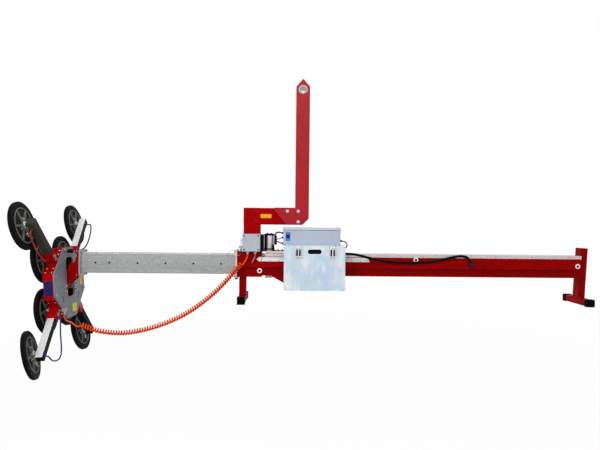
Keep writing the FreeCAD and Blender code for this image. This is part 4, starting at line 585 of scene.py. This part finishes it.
CART_CABLE = [(296, -172, -1168), (344, -172, -1168), (410, -156, -1180), (480, -124, -1200),
              (556, -98, -1218), (645, -84, -1230), (742, -79, -1236), (850, -79, -1234), (950, -79, -1223),
              (1036, -79, -1206), (1100, -79, -1189), (1156, -79, -1180), (1205, -79, -1195),
              (1220, -79, -1232)]
LANYARD = [(-434, -33.5, -1146), (-434, -49, -1146), (-445, -66, -1149), (-466, -79, -1152),
           (-490, -87, -1156), (-514, -92, -1163), (-530, -94, -1176), (-530, -95, -1191), (-514, -95, -1201),
           (-490, -94, -1204), (-464, -91, -1199), (-444, -85, -1189), (-432, -75, -1180), (-432, -62, -1180)]
THIN_LEAD = [(-331, -92, -1178), (-331, -92, -1192), (-337, -92, -1209), (-345, -91, -1224),
             (-352, -87, -1237), (-356, -78, -1244), (-356, -62, -1244)]
UPPER_LEAD = [(-132, -10, -1030), (-146, -10, -1030), (-160, -10, -1025), (-174, -10, -1025),
              (-186, -10, -1030), (-190, -10, -1040), (-190, -10, -1050)]
MIDDLE_LEAD = [(-132, 8, -1064), (-144, 8, -1064), (-157, 8, -1070), (-169, 8, -1076), (-181, 8, -1076)]
LOWER_LEAD = [(-132, -8, -1106), (-144, -8, -1106), (-157, -8, -1100), (-169, -8, -1094), (-181, -8, -1094)]
CHEST_LEAD = [(276, -86, -1082), (291, -86, -1082), (306, -89, -1085), (318, -95, -1094), (323, -102, -1107),
              (320, -108, -1121), (310, -111, -1130), (296, -111, -1130)]
HANGING_HOSE = [(0, 0, 0), (15, 0, 0), (25, 5, 11), (27, 13, 38), (26, 19, 80), (27, 23, 130), (29, 27, 180),
                (31, 34, 224), (33, 56, 255), (32, 98, 267), (30, 146, 262), (26, 187, 243), (21, 210, 210),
                (-5.3, 210, 210)]
BOWED_HOSE = [(0, 0, 0), (19, 0, 0), (36, 4, 5), (49, 15, 17), (58, 33, 38), (63, 60, 71), (64, 91, 108),
              (61, 123, 144), (53, 153, 173), (39, 177, 191), (23, 193, 193), (-5.3, 193, 193)]
SIDE_HOSE = [(0, 0, 0), (21, 0, 0), (37, 12, 3), (47, 45, 8), (49, 100, 13), (45, 160, 16), (38, 215, 16),
             (29, 252, 13), (17, 272, 10), (-5.3, 272, 10)]
SPIRAL_ROUTE = [(-428, -110, -1247), (-496, -112, -1329), (-598, -118, -1441), (-701, -123, -1527),
                (-811, -129, -1604), (-938, -136, -1664), (-1065, -142, -1707), (-1191, -149, -1733),
                (-1291, -154, -1737), (-1374, -158, -1728), (-1449, -162, -1712), (-1525, -166, -1677)]

cord("trailing_cable", CART_CABLE, 9, CABLE, "cart", "cart_cable", other="frame")
cord("hose_lanyard", LANYARD, 1.25, WIRE, "frame", "thin_leads")
cord("sensor_lead", THIN_LEAD, 3, GREY_LEAD, "frame", "thin_leads")
cord("motor_lead", UPPER_LEAD, 5, CABLE, "cart", "cart_leads")
cord("brake_lead", MIDDLE_LEAD, 3, CABLE, "cart", "cart_leads")
cord("switch_lead", LOWER_LEAD, 4, CABLE, "cart", "cart_leads")
cord("chest_lead", CHEST_LEAD, 4, CABLE, "cart", "cart_leads")

SPIRAL_R = 13
SPIRAL_TURNS = 70
STEPS_PER_TURN = 10
COIL_HOSE_R = 5.5
TAIL_HOSE_R = 4
PAD_HOSE_R = 5


def curls():
    """Control points of the hose's curls, along the route's own smooth line."""
    line = spline_points(SPIRAL_ROUTE)
    run = [0.0]
    for a, b in zip(line, line[1:]):
        run.append(run[-1] + (b - a).length)
    count = SPIRAL_TURNS * STEPS_PER_TURN
    made = []
    index = 0
    for step in range(count + 1):
        want = run[-1] * step / count
        while index < len(run) - 2 and run[index + 1] < want:
            index += 1
        part = (want - run[index]) / (run[index + 1] - run[index])
        centre = line[index].lerp(line[index + 1], part)
        way = (line[index + 1] - line[index]).normalized()
        side = way.cross(Vector((0, 1, 0))).normalized()
        other = way.cross(side)
        turn = 2 * math.pi * step / STEPS_PER_TURN
        wide = SPIRAL_R / math.cos(math.pi / STEPS_PER_TURN) ** 0.7
        made.append(centre + side * (wide * math.cos(turn)) + other * (wide * math.sin(turn)))
    return made


def back_hose(side, level, steps):
    """Route of a hose from the back of a socket to the back of its arm."""
    start = BACK_HOSE_FROM * SLANT
    return leaned([(SOCKET_BACK + back, side * (start + out), HEAD_Z + level * (start + rise))
                   for back, out, rise in steps])


def side_hose(side, level, steps):
    """Route of a hose from the side of a socket to the side of its arm."""
    made = []
    for away, out, ahead in steps:
        along, across = SIDE_HOSE_FROM + out, SOCKET_HALF + away
        made.append((EXT_X - ahead, side * SLANT * (along + across), HEAD_Z + level * SLANT * (along - across)))
    return leaned(made)


HOSES = {"near_upper": (RED_HOSE, side_hose, SIDE_HOSE), "near_lower": (BLUE_HOSE, back_hose, HANGING_HOSE),
         "far_upper": (BLUE_HOSE, back_hose, BOWED_HOSE)}
for corner, (paint, route, steps) in HOSES.items():
    cord("hose_" + corner, route(*DIAGONALS[corner], steps), PAD_HOSE_R, paint, "rotor", "pad_hoses",
         other="ext_" + corner)

# The last turns reach from the arm to the head, so that they clear the pads when it faces down.
REACH_FROM = 0.85
coils = curls()
seam = int(REACH_FROM * len(coils))
middle = (coils[seam - 1] + coils[seam]) / 2
hose_coils = [(-385, -92, -1178), (-385, -92, -1190), (-390, -94, -1212), (-404, -100, -1236)]
hose_coils += coils[:seam] + [middle]
hose_reach = [middle] + coils[seam:]
hose_reach += [coils[-1] + Vector((-16, -12, 0)), coils[-1] + Vector((-36, -13, 9))]
hose_tail = [hose_reach[-1], (-1594, -174, -1658), (-1620, -171, -1653), (-1640, -167, -1642)]
hose_tail += leaned([(PLATE_X + 13, -165, -1628), (PLATE_X + 13, -165, -1613)])
cord("spiral_hose_coils", hose_coils, COIL_HOSE_R, COIL, "frame", "spiral_hose", other="arm", fine=4)
cord("spiral_hose_reach", hose_reach, COIL_HOSE_R, COIL, "arm", "spiral_hose", other="tilt_head", fine=4)
cord("spiral_hose_tail", hose_tail, TAIL_HOSE_R, ORANGE, "tilt_head", "spiral_hose")


# Suction pads

SEAL = [(-16, 118), (-24, 118), (-28.5, 120), (-30, 125), (-28.4, 130), (-30, 135), (-30, 150), (-28.6, 157),
        (-24, 160), (-17, 160), (-14.5, 157), (-12, 160), (-7, 159.4), (-3.4, 155), (-2.6, 146), (-4.4, 141),
        (-2.4, 137), (-2.2, 128), (-4, 122), (-9, 120.5), (-15, 120.5)]
DISC = [(-16, 0.5), (-16, 117), (-14, 119.5), (-9.5, 119.5), (-9, 60), (-9, 0.5)]
RING = [(-9.5, 110), (-9.5, 120), (-2.5, 119.5), (-1, 118), (-1, 112.5), (-2.5, 111)]
HUB = [(-16, 1), (-16, 30), (3, 30), (5, 28), (5, 24), (10, 22), (10, 15.2), (9, 14.6), (0, 14.5),
       (-8, 12), (-13, 6), (-14, 1)]


def pad_meshes():
    """The pad's rubber, casting, spokes and hub as shared meshes about the ball's centre."""
    made = {"seal": lathe(SEAL, 128), "disc": lathe(DISC), "hub": lathe(HUB, 64)}
    spokes = lathe(RING, 128)
    for step in range(6):
        turn = turned(60 * step + 30, "X")
        corners = []
        for x, inset in ((-9.2, 0), (-1.5, 2.2)):
            corners.append([(x, -11 + inset, 24), (x, 11 - inset, 24),
                            (x, 7 - inset, 113), (x, -7 + inset, 113)])
        low = [spokes.verts.new(turn @ mm(*corner)) for corner in corners[0]]
        high = [spokes.verts.new(turn @ mm(*corner)) for corner in corners[1]]
        spokes.faces.new(high)
        spokes.faces.new(low[::-1])
        skin(spokes, [low, high])
    made["spokes"] = spokes
    fittings = bmesh.new()
    for z, y in circle(3, 42):
        add_bolt(fittings, (-8, y, z), (1, 0, 0), 13)
    add_turned(fittings, (-9, 0, -58), (1, 0, 0), [(0, 12), (6, 12), (6, 8), (16, 8), (18, 7)], 24)
    add_turned(fittings, (4, 0, -58), (0, 0, -1), [(-7, 6), (12, 6), (12, 4.5), (20, 4.5)], 20)
    made["fittings"] = fittings
    return {name: finished("pad_" + name, shape, 32) for name, shape in made.items()}


PAD_PAINT = {"seal": RUBBER, "disc": CAST_DARK, "spokes": CAST, "hub": STEEL, "fittings": STEEL}
pad_parts = pad_meshes()
for corner, (side, level) in DIAGONALS.items():
    turn = turned(NEAR_LOWER_TURN if corner == "near_lower" else 0, "Z")
    for kind, y, z, droop in (("main", MAIN_Y, MAIN_Z, MAIN_DROOP), ("outer", OUTER_YZ, OUTER_YZ, OUTER_DROOP)):
        place = Matrix.Translation(mm(BALL_X, y * side, HEAD_Z + z * level))
        if kind == "outer":
            place = place @ turn
        place = place @ turned(-droop, "Y")
        for part, mesh in pad_parts.items():
            made = instance(f"{kind}_{part}_{corner}", mesh, PAD_PAINT[part], f"{kind}_{corner}", place)
            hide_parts(f"{kind}_pad_{corner}")

# Trim of the head


def trim(name, material, body):
    """Run a function that fills a bmesh and make a piece of it."""
    def wrap(fill):
        made = bmesh.new()
        fill(made)
        return piece(name, made, material, body)
    return wrap


def front_blank(name, material, body, x0, x1, y, z0, z1, thick=0.8):
    """Blank plate on a face that looks to -Y."""
    made = bmesh.new()
    add_plate(made, [(x0, y, z0), (x1, y, z0), (x1, y, z1), (x0, y, z1)], thick, (0, -1, 0))
    piece(name, made, material, body)


def back_blank(name, material, y0, y1, z0, z1):
    """Blank plate on the back of the head."""
    made = bmesh.new()
    corners = [(PLATE_X, y, z) for y, z in ((y0, z0), (y1, z0), (y1, z1), (y0, z1))]
    add_plate(made, corners, 0.8, (1, 0, 0))
    piece(name, made, material, "tilt_head")


back_blank("head_side_blank", YELLOW, 172, 224, -1442, -1378)
back_blank("head_low_blank", LEMON, 12, 88, -1621, -1562)


@trim("head_plate_bolts", STEEL, "tilt_head")
def _(made):
    for side, level in DIAGONALS.values():
        for y, z in ((62, 232), (240, 66)):
            add_bolt(made, (PLATE_X, y * side, HEAD_Z + z * level), (1, 0, 0), 13)
    for side in (-1, 1):
        add_bolt(made, (PLATE_X, side * 92, HEAD_Z - 20), (1, 0, 0), 17)
        add_bolt(made, (PLATE_X, side * 92, HEAD_Z - 62), (1, 0, 0), 17)


@trim("slot_lip", GREY, "tilt_head")
def _(made):
    outline = []
    for cy, cz, start in ((31, 150, 0), (-31, 150, 90), (-31, -70, 180), (31, -70, 270)):
        for step in range(7):
            turn = math.radians(start + 15 * step)
            wy, wz = math.cos(turn), math.sin(turn)
            outline.append((cy + 30 * wy, cz + 30 * wz, wy, wz))
    rings = []
    for y, z, wy, wz in outline:
        section = ((0, 8), (2.8, 7.4), (3.4, 5.5), (3.4, 1.2), (2.8, 0.3), (0, 0.3))
        rings.append([made.verts.new(mm(PLATE_X + x, y + wy * out, HEAD_Z + z + wz * out))
                      for x, out in section])
    skin(made, rings, loop=True)


@trim("lock_knob_grip", BLACK, "tilt_head")
def _(made):
    add_turned(made, (PLATE_X + 20, 0, HEAD_Z + 224), (1, 0, 0),
               [(0, 14), (2, 17), (12, 17), (15, 14), (16, 8)], 18)


front_blank("drum_side_plate", BLUE, "rotor", HOUSING_FRONT + 4, PLATE_FRONT - 6, -262, -1470, -1366)


@trim("drum_ribs", RED, "rotor")
def _(made):
    for side in (-1, 1):
        low, high = sorted((side * 255, side * 268))
        add_box(made, (HOUSING_FRONT + 0.5, low, -1494), (PLATE_FRONT - 2, high, -1479), 2)


@trim("drum_screws", CHROME, "rotor")
def _(made):
    for side in (-1, 1):
        for level in (-1, 1):
            out = Vector((0, 175 * side, 187 * level)).normalized()
            for share in (0.1, 0.24, 0.76, 0.9):
                y = 75 + 187 * share
                z = 250 - 175 * share
                for x in (PLATE_FRONT - 14, HOUSING_FRONT + 12):
                    add_screw(made, (x, y * side, HEAD_Z + z * level), out, 5)


@trim("socket_screws", STEEL, "rotor")
def _(made):
    for side, level in DIAGONALS.values():
        for along in (252, 283):
            add_bolt(made, (SOCKET_BACK, along * SLANT * side, HEAD_Z + along * SLANT * level), (1, 0, 0), 13)


@trim("spindle_bolts", STEEL, "tilt_head")
def _(made):
    for y, z in circle(6, 48, 15):
        add_bolt(made, (HOUSING_FRONT - 8.3, y, HEAD_Z + z), (-1, 0, 0), 10)


@trim("tilt_pin_nuts", STEEL, "arm")
def _(made):
    for side in (-1, 1):
        add_turned(made, (PIVOT[0], side * 60, PIVOT[2]), (0, side, 0), [(0, 11.5), (2, 11.5), (3, 10.5)], 32)


# Trim of the arm and the beam


def loop_x(x, half_y, low, high):
    """Corners of an upright rectangle across X."""
    return [(x, -half_y, low), (x, half_y, low), (x, half_y, high), (x, -half_y, high), (x, -half_y, low)]


@trim("arm_weld", ZINC, "arm")
def _(made):
    add_bead(made, loop_x(-1577, 41, -1328, -1184), 4)


@trim("bracket_welds", RED, "arm")
def _(made):
    for side in (-1, 1):
        for y in (34, 46):
            add_bead(made, [(-1603, side * y, -1342), (-1603, side * y, -1184)], 3.2)


@trim("mouth_weld", BEAM_RED, "frame")
def _(made):
    add_bead(made, loop_x(-461, 61.5, -1345, -1167), 3.5)


@trim("sleeve_welds", BEAM_RED, "frame")
def _(made):
    for side in (-1, 1):
        add_bead(made, [(-286, side * 61, -1277), (-286, side * 61, -1202)], 2.6)
        add_bead(made, [(-286, side * 53.5, -1336), (-286, side * 53.5, -1279)], 2.6)
        add_bead(made, [(-285, side * 54, -1278.5), (BEAM_END - 53, side * 54, -1278.5)], 2.4, 14)
        add_bead(made, [(-418, side * 59, -1165.5), (-300, side * 59, -1165.5)], 4)
    add_bead(made, [(-419.5, -50, -1165.5), (-419.5, 50, -1165.5)], 4)
    add_bead(made, [(-298.5, -50, -1165.5), (-298.5, 50, -1165.5)], 4)


@trim("stand_welds", BEAM_RED, "frame")
def _(made):
    for level in (-1346.5, -1481.5):
        for side in (-1, 1):
            x = FRONT_STAND_X
            add_bead(made, [(x - 24, side * 25, level), (x + 24, side * 25, level)], 3)
            add_bead(made, [(x + side * 25, -24, level), (x + side * 25, 24, level)], 3)
    for side in (-1, 1):
        add_bead(made, [(BEAM_END - 12, side * 36, -1481), (BEAM_END + 36, side * 36, -1481)], 3)
        add_bead(made, [(BEAM_END + 0.5, side * 37, -1330), (BEAM_END + 0.5, side * 37, -1205)], 3)


@trim("mouth_bolts", IRON, "frame")
def _(made):
    for y in (-52, 0, 52):
        add_bolt(made, (-469, y, -1356), (0, 0, -1), 13)
    for side in (-1, 1):
        add_bolt(made, (-476, side * 59, -1344), (-1, 0, 0), 10)
        add_bolt(made, (-476, side * 59, -1168), (-1, 0, 0), 10)


@trim("rail_screws", STEEL, "frame")
def _(made):
    for step in range(9):
        for side in (-1, 1):
            add_screw(made, (-200 + 268 * step, side * 60, -1188), (0, side, 0), 4.5)


@trim("bush_rings", WHITE_ZINC, "frame")
def _(made):
    for x, z in BUSHES:
        add_turned(made, (x, -65, z), (0, -1, 0),
                   [(0, 18), (1.2, 17.6), (2, 16.4), (2, 9.5), (1, 8.6), (0.2, 8.4)], 40)


@trim("bush_plugs", BLACK, "frame")
def _(made):
    for x, z in BUSHES:
        add_turned(made, (x, -65, z), (0, -1, 0), [(0, 8.6), (1.4, 8.6), (1.8, 7.6)], 24)


@trim("strip_marks", INK, "frame")
def _(made):
    for step in range(STRIP_MARKS):
        x = STRIP_X + STRIP_STEP * step
        tall = 6 if step % MARKS_PER_FIGURE else 12
        add_box(made, (x - 0.9, -63.3, -1207 - tall), (x + 0.9, -62.9, -1206.5))


@trim("strip_rivets", STEEL, "frame")
def _(made):
    for x in (-308, 90, 470):
        add_screw(made, (x, -63, -1219), (0, -1, 0), 4)


def number(text, x, z, size):
    """Flat figures on the scale strip."""
    data = bpy.data.curves.new("figure", "FONT")
    data.body = text
    data.size = size / 1000
    data.align_x = "CENTER"
    data.extrude = 0.0001
    holder = bpy.data.objects.new("figure", data)
    mesh = bpy.data.meshes.new_from_object(holder)
    bpy.data.objects.remove(holder)
    mesh.transform(Matrix.Translation(mm(x, -63.2, z)) @ turned(90, "X"))
    return mesh


def figures():
    """Plain numbers along the scale strip, as one piece."""
    made = bmesh.new()
    for step in range(0, STRIP_MARKS, MARKS_PER_FIGURE):
        mesh = number(str(2 * step), STRIP_X + STRIP_STEP * step, -1232, 11)
        made.from_mesh(mesh)
        bpy.data.meshes.remove(mesh)
    piece("strip_figures", made, INK, "frame")


figures()

# Trim of the mast and the column


@trim("gooseneck_seam", RED, "frame")
def _(made):
    for side in (-1, 1):
        add_bead(made, [(-410, side * 59.4, -859), (-308, side * 59.4, -961)], 3.6)
        add_bead(made, [(-300, side * 49, -969.5), (-300, side * 20, -969.5)], 2.6)


@trim("mast_welds", RED, "frame")
def _(made):
    for side in (-1, 1):
        add_bead(made, [(-49, side * 58, -849.5), (-196, side * 61.5, -849.5)], 2.6)
        add_bead(made, [(-199, side * 67, -862), (-117, side * 67, -966)], 1.6)


front_blank("mast_blank_plate", YELLOW, "frame", -297, -219, -60, -923, -895)


@trim("eye_washers", STEEL, "frame")
def _(made):
    for side in (-1, 1):
        add_turned(made, (0, side * 68, 0), (0, side, 0),
                   [(0, 30.4), (1.4, 30.4), (1.4, 32), (0.6, 33), (0, 33)], 48, bored=True)


@trim("junction_box_screws", IRON, "frame")
def _(made):
    for x in (-409, -309):
        for z in (-1148, -1050):
            add_screw(made, (x, -120, z), (0, -1, 0), 5)


@trim("junction_box_lip", PLASTIC, "frame")
def _(made):
    for x0, x1, z0, z1 in ((-422.5, -295.5, -1161.5, -1158), (-422.5, -295.5, -1040, -1036.5),
                           (-422.5, -419, -1160, -1038), (-299, -295.5, -1160, -1038)):
        add_box(made, (x0, -106, z0), (x1, -102.5, z1), 1)


@trim("gland_rings", BLACK, "frame")
def _(made):
    for x in (-385, -331):
        add_turned(made, (x, -92, -1160.5), (0, 0, -1), [(0, 13.5), (1.5, 13.5), (2, 12.6)], 32)


@trim("lock_pin_collar", STEEL, "frame")
def _(made):
    add_turned(made, (LOCK_X, 0, -1166), (0, 0, 1),
               [(0, 7.6), (2.2, 7.6), (2.2, 16), (1.4, 18), (0, 18)], 40, bored=True)


# Trim of the cart

front_blank("control_plate", SKY_BLUE, "cart", -116, -82, BOX_FRONT, -1085, -1022)
front_blank("control_plate_panel", BLUE, "cart", -111, -87, BOX_FRONT - 0.8, -1066, -1040, 0.5)


@trim("control_glands", BLACK, "cart")
def _(made):
    profile = [(0, 10), (5, 10), (5, 8), (11, 7), (12, 5)]
    for y, z in ((-10, -1030), (8, -1064), (-8, -1106)):
        add_turned(made, (BOX_LEFT, y, z), (-1, 0, 0), profile, 6)
    add_turned(made, (BOX_RIGHT, -86, -1082), (1, 0, 0), profile, 6)


@trim("control_box_screws", STEEL, "cart")
def _(made):
    for x in (-120, 72, 264):
        for y in (-86, 86):
            add_screw(made, (x, y, -990), (0, 0, 1), 5)
    for x in (BOX_LEFT + 6, BOX_RIGHT - 6):
        for z in (-1108, -1016):
            add_screw(made, (x, BOX_FRONT, z), (0, -1, 0), 4)


@trim("lid_gasket", BLACK, "cart")
def _(made):
    add_box(made, (BOX_LEFT - 1.5, BOX_FRONT - 1.5, -1008), (BOX_RIGHT + 1.5, 95.5, -1005.6), 0.6)


@trim("saddle_bolts", STEEL, "cart")
def _(made):
    for x in (-98, 87, 272):
        for y in (-78, 78):
            add_bolt(made, (x, y, -1395), (0, 0, -1), 13)
    for x in (-60, 234):
        for side in (-1, 1):
            add_turned(made, (x, side * 42, -1151.7), (0, side, 0), [(0, 13), (3, 13), (4, 12)], 32)
    for x in (-172, -142):
        for y in (-46, 46):
            add_bolt(made, (x, y, -1158), (0, 0, 1), 10)


@trim("weight_bolts", STEEL, "cart")
def _(made):
    for x in (-70, 244):
        for z in (-1360, -1165):
            add_bolt(made, (x, 241, z), (0, 1, 0), 24)


@trim("motor_bands", IRON, "cart")
def _(made):
    add_turned(made, (MOTOR_X, 0, -1049), (0, 0, 1),
               [(0, 37.6), (1, 38.2), (7, 38.2), (10, 36), (13.5, 30.5), (14, 20)], 64)
    add_turned(made, (MOTOR_X, 0, -1151.6), (0, 0, 1), [(0, 37.4), (0.5, 38), (10, 38), (10.5, 37.4)], 64)
    for x, y in circle(4, 20, 45):
        add_bolt(made, (MOTOR_X + x, y, -1035.2), (0, 0, 1), 8, washer=False)


@trim("terminal_cover", IRON, "cart")
def _(made):
    add_box(made, (-199, -22.6, -1114.6), (-180.4, 22.6, -1049.4), 1.5)
    for y in (-16, 16):
        for z in (-1108, -1056):
            add_screw(made, (-180.4, y, z), (1, 0, 0), 3)


@trim("gearbox_bolts", STEEL, "cart")
def _(made):
    for y in (-26, 26):
        for z in (-1148, -1100, -1052):
            add_bolt(made, (-296, y, z), (-1, 0, 0), 10)


def slot_ring(made, out, y):
    """Ring of points round the door's hand slot, a little outside or inside its edge."""
    ring = []
    for side in (1, -1):
        for step in range(13):
            turn = math.radians(-90 * side + 15 * step)
            reach = HAND_SLOT_R + out
            x = HAND_SLOT_X + side * HAND_SLOT_HALF + reach * math.cos(turn)
            ring.append(made.verts.new(mm(x, y, HAND_SLOT_Z + reach * math.sin(turn))))
    return ring


@trim("slot_rim", WHITE, "door")
def _(made):
    section = ((-0.3, -246.6), (-1.4, -248), (-1.4, -251.4), (-0.6, -252.4), (1.6, -252.4), (3, -251.8),
               (3.2, -251))
    skin(made, [slot_ring(made, out, y) for out, y in section], loop=True)


@trim("grip_cup", BLACK, "door")
def _(made):
    section = ((-1.2, -248.6), (-1.6, -240), (-3, -226), (-7, -219), (-16.9, -217))
    rings = [slot_ring(made, out, y) for out, y in section]
    skin(made, rings)
    made.faces.new(rings[-1])


@trim("chest_rivets", STEEL, "cart")
def _(made):
    for z in (-1400, -1330, -1260, -1190, -1126):
        for x, side in ((CHEST_LEFT, -1), (CHEST_RIGHT, 1)):
            add_screw(made, (x, -236, z), (side, 0, 0), 4)
            add_screw(made, (x, -106, z), (side, 0, 0), 4)


def latch_trim(side, x):
    """Toggle latch: folded lever with dark slots, its pin and the claw at its top."""
    made = bmesh.new()
    for x0, x1, y0, y1, z0, z1 in (
            (-21, -15.5, -264.5, -257, -1189, -1128), (15.5, 21, -264.5, -257, -1189, -1128),
            (-21, 21, -264, -258.5, -1136, -1128), (-21, 21, -264, -258.5, -1190.5, -1181),
            (-4.5, 4.5, -264.8, -259, -1182, -1130), (-14, 14, -265.6, -261.5, -1130, -1120),
            (-14, 14, -263, -255.5, -1122, -1117)):
        add_box(made, (x + x0, y0, z0), (x + x1, y1, z1), 1.2)
    add_turned(made, (x - 23, -261, -1186), (1, 0, 0), [(0, 3), (46, 3)], 20)
    add_turned(made, (x - 20.5, -261, -1186), (1, 0, 0), [(0, 5), (41, 5)], 20)
    lever = piece("toggle_" + side, made, CHROME, side + "_latch")
    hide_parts("latch_" + side)
    made = bmesh.new()
    add_box(made, (x - 16, -260, -1183), (x + 16, -258.6, -1134), 0.4)
    back = piece("toggle_" + side + "_back", made, BLACK, side + "_latch")
    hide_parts("latch_" + side)


for side, x in LATCH_X.items():
    latch_trim(side, x)


@trim("latch_catches", CHROME, "door")
def _(made):
    for x in LATCH_X.values():
        add_box(made, (x - 12, -253.5, -1128), (x + 12, -251, -1113), 0.8)
        add_box(made, (x - 10, -255.2, -1116), (x + 10, -253, -1113), 0.8)


# Trim of the stands


@trim("cap_ridges", CAP, "frame")
def _(made):
    for x in (FRONT_STAND_X, REAR_FOOT_X):
        for side in (-1, 1):
            for y in (138, 144, 150):
                low, high = sorted((side * y, side * (y + 2.5)))
                add_box(made, (x - 27.8, low, -1531.6), (x + 27.8, high, -1478.6), 0.8)


# Camera, light and floor

camera = bpy.data.cameras.new("camera")
camera.lens = 32.4
camera.sensor_width = 36
camera.clip_end = 100
viewer = link(bpy.data.objects.new("camera", camera))
stance = Matrix.Translation(mm(-92.7, -3942, -942))
for angle, axis in ((-1.17, "Z"), (89.58, "X"), (0.6, "Z")):
    stance = stance @ turned(angle, axis)
viewer.matrix_world = stance
bpy.context.scene.camera = viewer


def lamp(name, place, target, size, power):
    """Area light in metres and watts, aimed at a point."""
    data = bpy.data.lights.new(name, "AREA")
    data.shape = "RECTANGLE"
    data.size, data.size_y = size
    data.energy = power
    made = link(bpy.data.objects.new(name, data))
    aim = Vector(target) - Vector(place)
    made.matrix_world = Matrix.Translation(Vector(place)) @ aim.to_track_quat("-Z", "Y").to_matrix().to_4x4()


lamp("key", (-2.2, -5.0, 2.0), (-0.3, 0, -1.2), (3, 2.5), 220)
lamp("fill", (2.6, -5.0, 0.6), (0.4, 0, -1.2), (3, 3), 28)
lamp("top", (0, 0.4, 3.4), (0, 0, -1.2), (5, 3), 110)

world = bpy.data.worlds.new("studio")
bpy.context.scene.world = world
world.use_nodes = True
tree = world.node_tree
sky = tree.nodes["Background"]
seen = tree.nodes.new("ShaderNodeLightPath")
plain = tree.nodes.new("ShaderNodeBackground")
plain.inputs["Color"].default_value = (1, 1, 1, 1)
plain.inputs["Strength"].default_value = 1
sky.inputs["Color"].default_value = (0.95, 0.97, 1, 1)
sky.inputs["Strength"].default_value = 0.32
looks = seen.outputs["Is Camera Ray"]
for ray in ("Is Glossy Ray", "Is Transmission Ray"):
    either = tree.nodes.new("ShaderNodeMath")
    either.operation = "MAXIMUM"
    tree.links.new(looks, either.inputs[0])
    tree.links.new(seen.outputs[ray], either.inputs[1])
    looks = either.outputs[0]
blend = tree.nodes.new("ShaderNodeMixShader")
tree.links.new(looks, blend.inputs[0])
tree.links.new(sky.outputs[0], blend.inputs[1])
tree.links.new(plain.outputs[0], blend.inputs[2])
tree.links.new(blend.outputs[0], tree.nodes["World Output"].inputs["Surface"])
bpy.context.scene.view_settings.view_transform = "Standard"


def studio_floor():
    """Wide pale floor that shows near white to the camera and keeps a soft shadow."""
    made = bmesh.new()
    level = Matrix.Translation(mm(0, 0, FLOOR_Z))
    bmesh.ops.create_grid(made, x_segments=1, y_segments=1, size=40, matrix=level)
    mesh = bpy.data.meshes.new("floor")
    made.to_mesh(mesh)
    made.free()
    n = Nodes("studio_floor")
    n.done(n.mix(n.span(n.noise(2, 3), 0.3, 0.7), (0.86, 0.86, 0.86), (0.9, 0.9, 0.9)), 0.7)
    glow = n.add("ShaderNodeEmission", {"Strength": 1})
    path = n.add("ShaderNodeLightPath")
    seen_by = n.math("MAXIMUM", path.outputs["Is Camera Ray"], path.outputs["Is Glossy Ray"])
    far = n.add("ShaderNodeVectorMath", {0: n.place}, operation="LENGTH")
    share = n.math("MULTIPLY", seen_by, n.span(far.outputs["Value"], 2.6, 7, 0.94, 1))
    join = n.add("ShaderNodeMixShader", {0: share, 1: n.shader.outputs[0], 2: glow.outputs[0]})
    n.put(n.tree.nodes["Material Output"], {"Surface": join.outputs[0]})
    mesh.materials.append(n.material)
    floor = link(bpy.data.objects.new("floor", mesh))


studio_floor()
